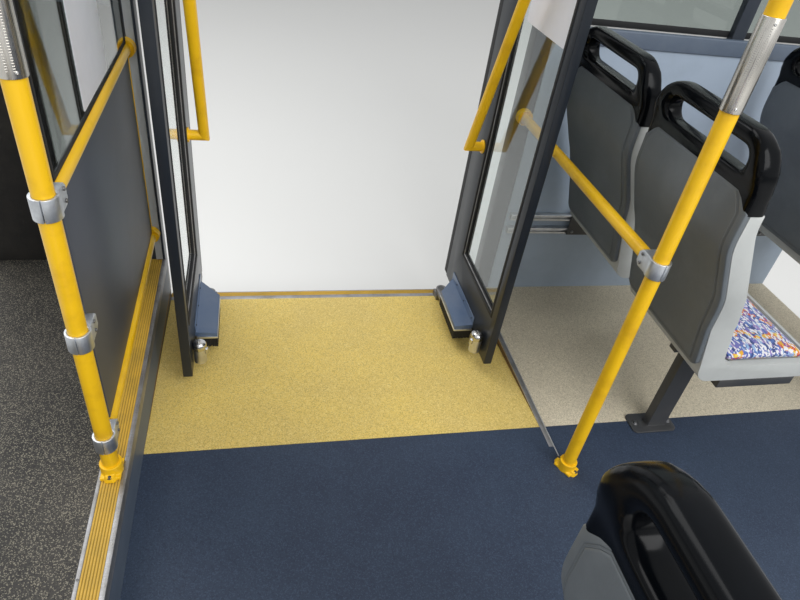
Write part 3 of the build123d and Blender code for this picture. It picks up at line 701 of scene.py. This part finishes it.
# Clamps on the stanchions: cast in two halves, with a split on the aisle side and two
# screws through each side of the jaw.
SPLIT_HALF = 0.8 * MM
SPLIT_REACH = 0.030
JAW_SIDE = 0.021
JAW_Y = 0.166
JAW_SCREW_UP = 0.012
clamps = take_copy("tube_clamps", "clamps_with_splits")
clamp_spots = [*RAILS.values(), (REAR_POST[0], PANEL_CLAMP_Z)]
for x, z in clamp_spots:
    split = block("split", (x - SPLIT_HALF, POST_Y - COLLAR_R - 2 * MM, z - SPLIT_REACH),
                  (x + SPLIT_HALF, POST_Y - POST_R - 2 * MM, z + SPLIT_REACH))
    cut(clamps, split)
round_edges(clamps, 0.9)
place(clamps, "bay", "clamp_silver")
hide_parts("tube_clamps")
jaw_screws = [((x + side * JAW_SIDE, JAW_Y, z + up * JAW_SCREW_UP), (side, 0, 0))
              for x, z in clamp_spots for side in (-1, 1) for up in (-1, 1)]
fasten(screw, "jaw_screws", jaw_screws, "bay", "gear_steel")


# Stanchion feet: a collar with two ears, bolted down on a thick pad and fused with it as cast.
COLLAR = (0.0258, 0.034)
FOOT_PAD = (0.0235, 0.0300, 0.008)
FOOT_EARS = (0.0150, 0.0390, 0.015)
FRONT_FOOT_TURN = 28
EAR_TAPER = (0.72, 0.88, 1.0)
EAR_CORNER = 9 * MM
EAR_BOLT_OUT = 0.0315
EAR_BOLT_UP = 0.0115


def foot(name, x, y, z, turn):
    """One foot, without its bolts; turn is the way that its ears point, in degrees."""
    collar = rod("collar", COLLAR[0], (x, y, z), COLLAR[1], sides=40)
    half_x, half_y, high = FOOT_PAD
    pad = block("pad", (x - half_x, y - half_y, z), (x + half_x, y + half_y, z + high))
    half_x, half_y, high = FOOT_EARS
    ears = block("ears", (x - half_x, y - half_y, z), (x + half_x, y + half_y, z + high))
    with editing(ears):
        pick(ears, "faces", lambda f: f.normal.z > 0.9)
        stretch(EAR_TAPER)
        pick(ears, "edges", lambda e: abs(e.verts[0].co.z - e.verts[1].co.z) > 0.01)
        bpy.ops.mesh.bevel(offset=EAR_CORNER, segments=4, affect="EDGES")
    whole = join([collar, pad, ears], name)
    apply_modifier(whole, "REMESH", mode="VOXEL", voxel_size=1.4 * MM)
    apply_modifier(whole, "SMOOTH", factor=0.5, iterations=5)
    bpy.ops.object.shade_smooth()
    turned(whole, "Z", turn, (x, y, z))
    return whole


REAR_FOOT_Z = 0.347
FRONT_FOOT_Z = 0.200
rear_foot = foot("rear_foot", *REAR_POST, REAR_FOOT_Z, 0)
front_foot = foot("front_foot", *FRONT_POST, FRONT_FOOT_Z, FRONT_FOOT_TURN)

# Wall cups of the rails: a ridge against the wall and a step round the tube.
CUP_R = 0.026
CUP_LONG = 0.028
cups = []
for name, (x, z) in RAILS.items():
    cup = rod("cup_" + name, CUP_R, (x, WALL - CUP_LONG, z), CUP_LONG, "Y", 40)
    with editing(cup):
        pick(cup, "faces", lambda f: f.normal.y < -0.9)
        inset(3)
        inset(2.5, -4)
    ridge = rod("ridge", CUP_R + 1.5 * MM, (x, WALL - 0.010, z), 0.006, "Y", 40)
    cups.append(join([cup, ridge], "cup_" + name))
wall_cups = join(cups, "wall_cups")
round_edges(wall_cups, 1.2, 3)
feet = join([rear_foot, front_foot], "stanchion_feet")
place(feet, "bay", "yellow_coat")
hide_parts("tube_feet")
place(wall_cups, "bay", "yellow_coat")
foot_bolts = []
for (x, y), z, turn in ((REAR_POST, REAR_FOOT_Z, 0), (FRONT_POST, FRONT_FOOT_Z, FRONT_FOOT_TURN)):
    out_x = EAR_BOLT_OUT * math.sin(math.radians(turn))
    out_y = EAR_BOLT_OUT * math.cos(math.radians(turn))
    foot_bolts += [((x - s * out_x, y + s * out_y, z + EAR_BOLT_UP), UP) for s in (-1, 1)]
fasten(foot_bolt, "foot_bolts", foot_bolts, "bay", "seat_steel")


# Hand sleeves: polished tube with a finely ribbed grip strip down the aisle side, and a screw
# near each end.
REAR_SLEEVE = (1.303, 1.800)
FRONT_SLEEVE = (1.314, 1.488)
RIB_R = 0.9 * MM
RIB_STEP = 4.0 * MM
STRIP_HALF = 7.0 * MM
STRIP_END = 0.012
SCREW_OUT = 0.0218
SCREW_IN = 0.010


def grip_strip(name, post, sleeve, facing):
    """The ribbed strip of one sleeve, turned to face the way given in degrees."""
    (x, y), (low, high) = post, sleeve
    start = (x - STRIP_HALF, y - 22.1 * MM, low + STRIP_END)
    strip = rod(name, RIB_R, start, 2 * STRIP_HALF, "X", 8)
    with editing(strip):
        pick(strip, "verts", lambda v: abs(v.co.x - x) > STRIP_HALF - 0.1 * MM)
        slide(y=1.2)
    repeat(strip, int((high - low - 2 * STRIP_END) / RIB_STEP), (0, 0, RIB_STEP))
    turned(strip, "Z", facing, (x, y, low))
    bpy.ops.object.shade_smooth_by_angle(angle=SHARP)
    place(strip, "bay", "ribbed_steel")


grip_strip("rear_grip_strip", REAR_POST, REAR_SLEEVE, 14)
grip_strip("front_grip_strip", FRONT_POST, FRONT_SLEEVE, -38)
soften("grip_sleeves", 1.0)
sleeve_screws = []
for (x, y), (low, high), facing in ((REAR_POST, REAR_SLEEVE, 34), (FRONT_POST, FRONT_SLEEVE, -20)):
    out = (math.sin(math.radians(facing)), -math.cos(math.radians(facing)), 0)
    sleeve_screws += [((x + out[0] * SCREW_OUT, y + out[1] * SCREW_OUT, z), out)
                      for z in (low + SCREW_IN, high - SCREW_IN)]
fasten(small_screw, "sleeve_screws", sleeve_screws, "bay", "bolt_chrome")


# Seats. One of each shape is made at the front aisle seat and copied to the others.
HOME_X, HOME_Y = SEATS["front_aisle"]
SHIFTS = {name: (x - HOME_X, y - HOME_Y, 0) for name, (x, y) in SEATS.items()}


def at_home(x, y, z):
    """A point given from the front aisle seat's place and from the ground."""
    return (HOME_X + x, HOME_Y + y, z)


def one_seat(node, name):
    """The front aisle seat's part of a CAD node."""
    piece = take_copy(node, name)
    keep_part(piece, at_home(-0.05, -0.23, 0.0), at_home(0.55, 0.23, 2.0))
    return piece


def at_every_seat(piece, name, slot, node):
    """Copies a rigid seat piece to every seat, as one piece that stands for its CAD node."""
    copies = [copy_at(piece, name, shift) for shift in SHIFTS.values()]
    bpy.data.objects.remove(piece)
    every = join(copies, name)
    place(every, "bay", slot)
    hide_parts(node)
    return every


# The back's ears, which carry the handle. Its feet end in a flat seam a little below their tops.
EAR_Z = 1.128
EAR_INNER = 0.168
EAR_OUTER = 0.200
SEAM_DOWN_MM = 10
SEAM_Z = EAR_Z - SEAM_DOWN_MM * MM


def aside(point):
    """How far a point lies from the middle of the front aisle seat."""
    return abs(point.y - HOME_Y)


def outer_ear(vert):
    """Whether a point is an upper outer corner of the back."""
    return abs(vert.co.z - EAR_Z) < MM and aside(vert.co) > EAR_OUTER


def inner_ear(vert):
    """Whether a point is an upper inner corner of an ear."""
    return abs(vert.co.z - EAR_Z) < MM and abs(aside(vert.co) - EAR_INNER) < MM


def underside(low, high):
    """A test for faces that look down between two heights."""
    return lambda f: f.normal.z < -0.9 and low < f.calc_center_median().z < high


# Shell: moulded sheet whose outer 18 mm rolls forward to the rim, with a moulded line inside it.
# Its top edge reaches up inside the handle, so that the line ends under the handle's foot.
NOTCH_WIDER = 1.131
NOTCH_RAISED_MM = 11
EDGE_RAISED_MM = 14
CREST_Z = 1.160
CREST_RAISED_MM = 10
ROLL_AND_LINE_MM = ((18, 4.5), (2.0, -1.6), (2.5, 3.0))
shell = one_seat("seat_shells", "seat_shell")
with editing(shell):
    pick(shell, "verts", outer_ear)
    slide(z=3 - SEAM_DOWN_MM)
    pick(shell, "verts", inner_ear)
    stretch((1.0, NOTCH_WIDER, 1.0), at_home(0, 0, EAR_Z))
    slide(z=NOTCH_RAISED_MM)
    pick(shell, "verts", lambda v: v.co.z > EAR_Z + 2 * MM)
    slide(z=EDGE_RAISED_MM)
    pick(shell, "verts", lambda v: v.co.z > CREST_Z)
    slide(z=CREST_RAISED_MM)
    pick(shell, "faces", lambda f: f.normal.x < -0.6)
    for width, height in ROLL_AND_LINE_MM:
        inset(width, height)
round_edges(shell, 2.6, 3, SHARP_DEG)
at_every_seat(shell, "moulded_shells", "shell_grey", "seat_shells")

# Liner: thick moulding with a deep roll at its outer edges and a crisp lip round its recesses,
# which are widened for broader pads.
PAD_WIDER = 1.09
CAD_RECESS_HALF = 0.1554
RECESS_SPAN = 0.172
liner = one_seat("seat_liners", "seat_liner")
with editing(liner):
    pick(liner, "verts", outer_ear)
    slide(z=1 - SEAM_DOWN_MM)
    pick(liner, "verts", lambda v: abs(aside(v.co) - CAD_RECESS_HALF) < 0.3 * MM)
    stretch((1.0, PAD_WIDER, 1.0), at_home(0, 0, 0))
bevel_where(liner, 2.0, 2, lambda e: aside(middle_of(e)) < RECESS_SPAN)
bevel_where(liner, 3.0, 2, lambda e: min(f.normal.x for f in e.link_faces) < -0.5)
bevel_where(liner, 9.0, 5, lambda e: middle_of(e).z < SEAM_Z - 1 * MM)
bpy.ops.object.shade_smooth_by_angle(angle=SHARP)
at_every_seat(liner, "moulded_liners", "liner_grey", "seat_liners")

# Handle: a fat gloss-black loop. It is rounded with longer feet, which are then trimmed flat at
# the seam; between them it reaches a little way down into the shell and liner.
BETWEEN_FEET = (1.140, 1.160)
BETWEEN_LOWER_MM = 18
FOOT_LONGER_MM = 45
FOOT_AHEAD_MM = 7
handle = one_seat("seat_handles", "seat_handle")
with editing(handle):
    pick(handle, "faces", underside(*BETWEEN_FEET))
    slide(z=-BETWEEN_LOWER_MM)
    pick(handle, "faces", underside(EAR_Z - MM, EAR_Z + MM))
    slide(z=-FOOT_LONGER_MM)
    pick(handle, "verts", lambda v: v.co.z < SEAM_Z - 18 * MM and v.co.x > HOME_X + 0.03)
    slide(x=FOOT_AHEAD_MM)
apply_modifier(handle, "REMESH", mode="VOXEL", voxel_size=4.5 * MM)
apply_modifier(handle, "SMOOTH", factor=0.5, iterations=38)
apply_modifier(handle, "DISPLACE", strength=2.0 * MM, mid_level=0.0)
cut(handle, block("below_seam", at_home(-0.1, -0.3, 1.0), at_home(0.2, 0.3, SEAM_Z)))
bpy.ops.object.shade_smooth_by_angle(angle=SHARP)
at_every_seat(handle, "grab_loops", "handle_black", "seat_handles")


# Pads: foam under moquette, swollen by a cloth simulation and tucked into the liner's recesses.
STUFFING_FORCE = 4.0
STUFFING_FRAMES = 20


def stuffed(piece, cap_mm, low, high):
    """Swells a pad, caps how far its points move and keeps it in its recess."""
    apply_modifier(piece, "REMESH", mode="VOXEL", voxel_size=6 * MM)
    apply_modifier(piece, "SMOOTH", factor=0.5, iterations=4)
    before = [v.co.copy() for v in piece.data.vertices]
    alone(piece)
    cloth = piece.modifiers.new("stuffing", "CLOTH")
    cloth.settings.use_pressure = True
    cloth.settings.uniform_pressure_force = STUFFING_FORCE
    cloth.settings.effector_weights.gravity = 0.0
    for step in range(1, STUFFING_FRAMES + 1):
        bpy.context.scene.frame_set(step)
    bpy.ops.object.modifier_apply(modifier=cloth.name)
    bpy.context.scene.frame_set(1)
    for vertex, start in zip(piece.data.vertices, before):
        move = vertex.co - start
        if move.length > cap_mm * MM:
            vertex.co = start + move.normalized() * cap_mm * MM
    for vertex in piece.data.vertices:
        vertex.co = [min(max(c, a), b) for a, c, b in zip(low, vertex.co, high)]
    apply_modifier(piece, "SUBSURF", levels=1, render_levels=1)
    bpy.ops.object.shade_smooth()


def pads_at_every_seat(piece, name, node):
    """Copies a pad to every seat; each copy is a padded piece of its own."""
    for seat, shift in SHIFTS.items():
        pad = copy_at(piece, f"{name}_{seat}", shift)
        place(pad, "bay", "seat_fabric")
        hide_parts(node)
    bpy.data.objects.remove(piece)


PAD_HALF = (CAD_RECESS_HALF - 0.9 * MM) * PAD_WIDER
CUSHION_HALF = 0.164
cushion = block("cushion", at_home(0.229, -CUSHION_HALF, 0.6365), at_home(0.491, CUSHION_HALF, 0.654))
bevel_where(cushion, 14, 4, lambda e: upright(e, 0.01, 0.05))
stuffed(cushion, 8, at_home(0.2255, -PAD_HALF, 0.6355), at_home(0.4945, PAD_HALF, 0.664))
pads_at_every_seat(cushion, "cushion", "seat_cushions")

# The back pad starts a little smaller than its recess. Swelling thickens it and draws its
# edges in.
BACK_PAD_START = (1.0, 0.975 * PAD_WIDER, 0.985)
back_pad = one_seat("back_pads", "back_pad")
alone(back_pad)
stretch(BACK_PAD_START, at_home(0.10, 0, 0.896))
settle(back_pad)
stuffed(back_pad, 7, at_home(-0.05, -PAD_HALF, 0.6925), at_home(0.60, PAD_HALF, 1.0995))
pads_at_every_seat(back_pad, "back_pad", "back_pads")

# Seat frames: rolled oval leg on a rounded foot plate, with two bolts.
legs = take_copy("seat_legs", "oval_legs")
bevel_where(legs, 18, 5, lambda e: upright(e, 0.004, 0.008))
bevel_where(legs, 11, 5, lambda e: upright(e, 0.25, 0.40))
round_edges(legs, 1.2, 2, 50)
place(legs, "bay", "seat_steel")
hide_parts("seat_legs")
soften("seat_tubes", 3.0, 3)
soften("seat_wall_plates", 1.5)
LEG_SPOTS = [SEATS["front_aisle"], SEATS["next_aisle"], SEATS["rear"]]
ROWS = [SEATS["front_window"][0], SEATS["next_window"][0]]
FOOT_PLATE_TOP = 0.2055
FOOT_BOLTS_AHEAD = (0.215, 0.337)
WALL_PLATE_FACE = 1.0055
WALL_BOLTS_AHEAD = (0.215, 0.338, 0.461)
WALL_BOLTS_UP = (0.492, 0.549)
foot_plate_bolts = [((x + ahead, y, FOOT_PLATE_TOP), UP) for x, y in LEG_SPOTS
                    for ahead in FOOT_BOLTS_AHEAD]
fasten(bolt, "foot_plate_bolts", foot_plate_bolts, "bay", "gear_steel")
wall_plate_bolts = [((x + ahead, WALL_PLATE_FACE, z), (0, -1, 0))
                    for x in ROWS for ahead in WALL_BOLTS_AHEAD for z in WALL_BOLTS_UP]
fasten(foot_bolt, "wall_plate_bolts", wall_plate_bolts, "bay", "gear_steel")


# Door leaves, drawn open: the middle of each in X, and the way that its passage side faces.
LEAF_MID = {"rear": -0.917, "front": 0.077}
PASSAGE = {"rear": 1, "front": -1}
LEAF_HALF = 0.014
GLASS_OPENING = ((0.596, 0.960), (0.415, 2.086))
LIP_HALF = 0.0158
LIP_OVER = 0.007
BEAD_HALF = 0.0105
BEAD_IN = 0.0055

# Toe guard: its fold, and the channel and bristles along its outer side and its end.
GUARD_FOLD_Z = 0.274
GUARD_OUT = 0.071
CHANNEL_Z = (0.2515, 0.2585)
CHANNEL_SIDE_Y = (0.706, 0.915)
CHANNEL_END_Y = (0.7055, 0.7210)
GUARD_SCREWS_Y = (0.735, 0.837, 0.937)
GUARD_SCREW_Z = 0.288
TUFT_R = 2.0 * MM
TUFT_LONG = 0.043
TUFT_Z = 0.215
TUFT_STEP = 4.0 * MM
TUFT_LEANS_MM = ((0.9, 0.4), (-0.6, -0.8), (0.2, 0.9))
TUFT_LONGER_MM = 1.5

# Lock bolt: radius, foot and length of its turned parts, and its place on the leaf.
BARREL = (0.0195, 0.246, 0.058)
BOLT_HEAD = (0.0215, 0.300, 0.027)
LOBE = (0.0150, 0.254, 0.056)
KNOB = (0.0065, 0.284, 0.020)
BOLT_OUT = 0.0225
BOLT_Y = 0.610
KEYWAY_HALF = 1.2 * MM
KEYWAY_REACH = 0.030
KEYWAY_Z = (0.3245, 0.3320)
HANDRAIL_CUP = (0.023, 0.006)
HANDRAIL_ENDS = {"foot": (0.990, 0.840), "head": (0.576, 1.950)}


def tuft_row(name, start, count, step):
    """A row of bristle tufts: three leaning ways, repeated along the brush."""
    three = []
    for number, lean in enumerate(TUFT_LEANS_MM):
        foot_at = [s + number * d for s, d in zip(start, step)]
        tuft = rod("tuft", TUFT_R, foot_at, TUFT_LONG, sides=6)
        with editing(tuft):
            pick(tuft, "faces", lambda f: f.normal.z < -0.9)
            stretch((1.5, 1.5, 1.0))
            slide(lean[0], lean[1], (number - 1) * TUFT_LONGER_MM)
        three.append(tuft)
    row = join(three, name)
    repeat(row, count // 3, [3 * d for d in step])
    return row


def turned_part(name, part, x, y, sides, crown_mm, segments):
    """One turned part of a lock bolt, its top edge rounded."""
    radius, low, length = part
    piece = rod(name, radius, (x, y, low), length, sides=sides)
    if crown_mm:
        bevel_where(piece, crown_mm, segments, lambda e: middle_of(e).z > low + length - MM)
    return piece


def between(name, xs, ys, zs):
    """A block between pairs of bounds, in either order."""
    return block(name, [min(pair) for pair in (xs, ys, zs)], [max(pair) for pair in (xs, ys, zs)])


for name, mid in LEAF_MID.items():
    toward = PASSAGE[name]
    body = body_of(f"{name}_leaf_frame")
    face = mid + toward * LEAF_HALF
    soften(f"{name}_leaf_frame", 1.8)
    soften(f"{name}_leaf_rubber", 2.5, 3)
    soften(f"{name}_arms", 1.5)
    (y0, y1), (z0, z1) = GLASS_OPENING
    lips = ring(f"{name}_glass_lips", (mid - LIP_HALF, y0 - LIP_OVER, z0 - LIP_OVER),
                (mid + LIP_HALF, y1 + LIP_OVER, z1 + LIP_OVER), "X", 12)
    round_edges(lips, 1.2)
    place(lips, body, "door_rubber")
    bead = ring(f"{name}_glass_bead", (mid - BEAD_HALF, y0 + BEAD_IN, z0 + BEAD_IN),
                (mid + BEAD_HALF, y1 - BEAD_IN, z1 - BEAD_IN), "X", 3.5)
    round_edges(bead, 0.6)
    place(bead, body, "aluminium_profile")

    guard = take_copy(f"{name}_toe_guard", f"{name}_pressed_guard")
    bevel_where(guard, 2.2, 3, lambda e: abs(middle_of(e).z - GUARD_FOLD_Z) < MM)
    round_edges(guard, 0.7)
    place(guard, body, "guard_metal")
    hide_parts(f"{name}_toe_guard")
    outer = face + toward * GUARD_OUT
    side_xs = (outer - toward * 0.014, outer + toward * 0.001)
    side = between("side", side_xs, CHANNEL_SIDE_Y, CHANNEL_Z)
    end = between("end", (face + toward * 0.004, outer), CHANNEL_END_Y, CHANNEL_Z)
    channel = join([side, end], f"{name}_brush_channel")
    round_edges(channel, 1.0)
    place(channel, body, "guard_metal", "sunlit_bright_aluminium")
    screws = [((face + toward * 0.0032, y, GUARD_SCREW_Z), (toward, 0, 0)) for y in GUARD_SCREWS_Y]
    fasten(small_screw, f"{name}_guard_screws", screws, body, "door_rubber")

    tufts = []
    for across in (0.0035, 0.0090):
        side_start = (outer - toward * across, 0.710, TUFT_Z)
        tufts.append(tuft_row("side", side_start, 51, (0, TUFT_STEP, 0)))
        end_start = (face + toward * 0.006, 0.7075 + across, TUFT_Z)
        tufts.append(tuft_row("end", end_start, 15, (toward * TUFT_STEP, 0, 0)))
    brush = join(tufts, f"{name}_bristles")
    place(brush, body, "brush_black")
    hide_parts(f"{name}_guard_brush")

    bolt_x = face + toward * BOLT_OUT
    barrel = turned_part("barrel", BARREL, bolt_x, BOLT_Y, 40, 0, 0)
    head = turned_part("head", BOLT_HEAD, bolt_x, BOLT_Y, 40, 16, 6)
    bevel_where(head, 1.5, 2, lambda e: middle_of(e).z < BOLT_HEAD[1] + MM)
    lobe = turned_part("lobe", LOBE, bolt_x - toward * 0.002, BOLT_Y + 0.022, 32, 10, 5)
    knob = turned_part("knob", KNOB, bolt_x + toward * 0.020, BOLT_Y - 0.006, 20, 4, 4)
    keyway = block("keyway", (bolt_x - KEYWAY_HALF, BOLT_Y - KEYWAY_REACH, KEYWAY_Z[0]),
                   (bolt_x + KEYWAY_HALF, BOLT_Y + KEYWAY_REACH, KEYWAY_Z[1]))
    cut(head, keyway)
    capsule = join([head, knob], f"{name}_bolt_capsule")
    sleeve = join([barrel, lobe], f"{name}_bolt_sleeve")
    for piece, look in ((capsule, None), (sleeve, "sunlit_bright_aluminium")):
        alone(piece)
        bpy.ops.object.shade_smooth_by_angle(angle=SHARP)
        place(piece, body, "bolt_chrome", look)
        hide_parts(f"{name}_lock_bolt")

    cup_r, cup_long = HANDRAIL_CUP
    for end, (y, z) in HANDRAIL_ENDS.items():
        cup_x = min(face, face + toward * cup_long)
        cup = rod(f"{name}_handrail_{end}_cup", cup_r, (cup_x, y, z), cup_long, "X", 36)
        round_edges(cup, 1.8, 3)
        place(cup, body, "yellow_coat")


def trim(name, low, high, round_mm, segments, slot, look=None):
    """A plain strip or sheet on the bay, between two corners."""
    piece = block(name, low, high)
    round_edges(piece, round_mm, segments)
    place(piece, "bay", slot, look)


# Tread strips: raised yellow ribs on a darker ground, dirt and painted shade in the grooves between them,
# along the step edge and the sill.
step_ground = block("step_ground", (-1.0728, -1.1249, 0.3442), (-1.0292, 1.0349, 0.3457))
sill_ground = block("sill_ground", (-1.0198, 1.0602, 0.1522), (0.1798, 1.0838, 0.1537))
tread_ground = join([step_ground, sill_ground], "tread_ground")
round_edges(tread_ground, 0.3, 1)
place(tread_ground, "bay", "yellow_insert", "groove_shade_and_dirt")
step_rib = block("step_rib", (-1.0726, -1.1248, 0.3450), (-1.0682, 1.0348, 0.3470))
round_edges(step_rib, 0.7)
repeat(step_rib, 7, (6.5 * MM, 0, 0))
sill_rib = block("sill_rib", (-1.0197, 1.0604, 0.1530), (0.1797, 1.0648, 0.1550))
round_edges(sill_rib, 0.7)
repeat(sill_rib, 4, (0, 6.2 * MM, 0))
tread_ribs = join([step_rib, sill_rib], "tread_ribs")
place(tread_ribs, "bay", "yellow_insert")
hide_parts("tread_inserts")
soften("floor_profiles", 0.9)

trim("riser_sheet", (-1.0202, -1.1248, 0.2002), (-1.0182, 1.0348, 0.3092), 0.5, 1, "trim_grey")
# A bright strip along the floor profile's far edge: partly polish from feet, partly a painted highlight on
# that edge.
trim("polished_edge_and_highlight", (0.1950, 0.1500, 0.2005), (0.1986, 1.0300, 0.2027), 0.8, 2,
     "aluminium_profile", "sunlit_bright_aluminium")
FLOOR_STRIP_SCREWS_Y = (0.232, 0.500, 0.768, 1.010)
STEP_EDGE_SCREWS_Y = (-0.95, -0.55, -0.15, 0.25, 0.65, 0.98)
strip_screws = [((0.189, y, 0.2020), UP) for y in FLOOR_STRIP_SCREWS_Y]
strip_screws += [((-1.0775, y, 0.3470), UP) for y in STEP_EDGE_SCREWS_Y]
fasten(small_screw, "profile_screws", strip_screws, "bay", "gear_steel")

# Side wall: rounded sill trim and posts, window gaskets, seat tracks with their slots.
soften("window_trim", 5.0, 4)
soften("door_posts", 4.0, 3, look="dark_post")
soften("outer_panels", 3.0, 3)
soften("wall_pillars", 3.0, 3, look="dark_post")
soften("cant_rail", 5.0, 3)
soften("header_cover", 5.0, 3)
soften("overhead_clamps", 7.0, 4)
soften("screen_panel", 1.5)
tracks = take_copy("wall_tracks", "slotted_tracks")
with editing(tracks):
    pick(tracks, "faces", lambda f: f.normal.y < -0.9)
    inset(7.0, each=True)
    inset(0.1, -9.0, each=True)
round_edges(tracks, 0.9)
place(tracks, "bay", "aluminium_profile", "sunlit_bright_aluminium")
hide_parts("wall_tracks")

WINDOWS_X = ((-1.598, -1.082), (0.242, 1.598))
gaskets = [ring("window_gasket", (x0, 1.0745, 1.238), (x1, 1.0780, 2.232), "Y", 20)
           for x0, x1 in WINDOWS_X]
window_gaskets = join(gaskets, "window_gaskets")
round_edges(window_gaskets, 1.0)
place(window_gaskets, "bay", "door_rubber")
screen_seal = ring("screen_seal", (-1.0572, 0.1790, 1.0970), (-1.0468, 1.0068, 2.0010), "X", 9)
round_edges(screen_seal, 1.2)
place(screen_seal, "bay", "door_rubber")

# Behind the screen a dark sheet lies on the lining, painted shade for the shadow there. Where the screen
# meets the wall there is a light cover strip, and the panel's end sits in a yellow channel.
trim("painted_shade_sheet", (-1.5990, 1.0320, 0.3460), (-1.0830, 1.0355, 1.1840), 1.2, 2,
     "trim_grey", "painted_shade_sheet")
trim("cover_strip", (-1.0490, 1.0300, 0.3480), (-1.0265, 1.0360, 2.2290), 1.5, 3, "post_grey")
trim("panel_channel", (-1.0590, 1.0055, 0.4725), (-1.0450, 1.0105, 1.0655), 1.0, 2, "yellow_coat")

# Blank notices: thin white plastic sheets with rounded corners, stuck to the glass.
screen_notice = block("screen_notice", (-1.0490, 0.460, 1.112), (-1.0481, 0.732, 1.470))
leaf_notice = block("leaf_notice", (0.0741, 0.623, 1.272), (0.0750, 0.898, 1.470))
for notice, body in ((screen_notice, "bay"), (leaf_notice, body_of("front_leaf_frame"))):
    with editing(notice):
        pick(notice, "edges", lambda e: abs(e.verts[0].co.x - e.verts[1].co.x) > 0.5 * MM)
        bpy.ops.mesh.bevel(offset=8 * MM, segments=5, affect="EDGES")
    round_edges(notice, 0.25, 1)
    place(notice, body, "body_paint", "notice_film")


for pattern in (screw, small_screw, bolt, foot_bolt):
    bpy.data.objects.remove(pattern)

bpy.context.scene.view_settings.view_transform = "Standard"
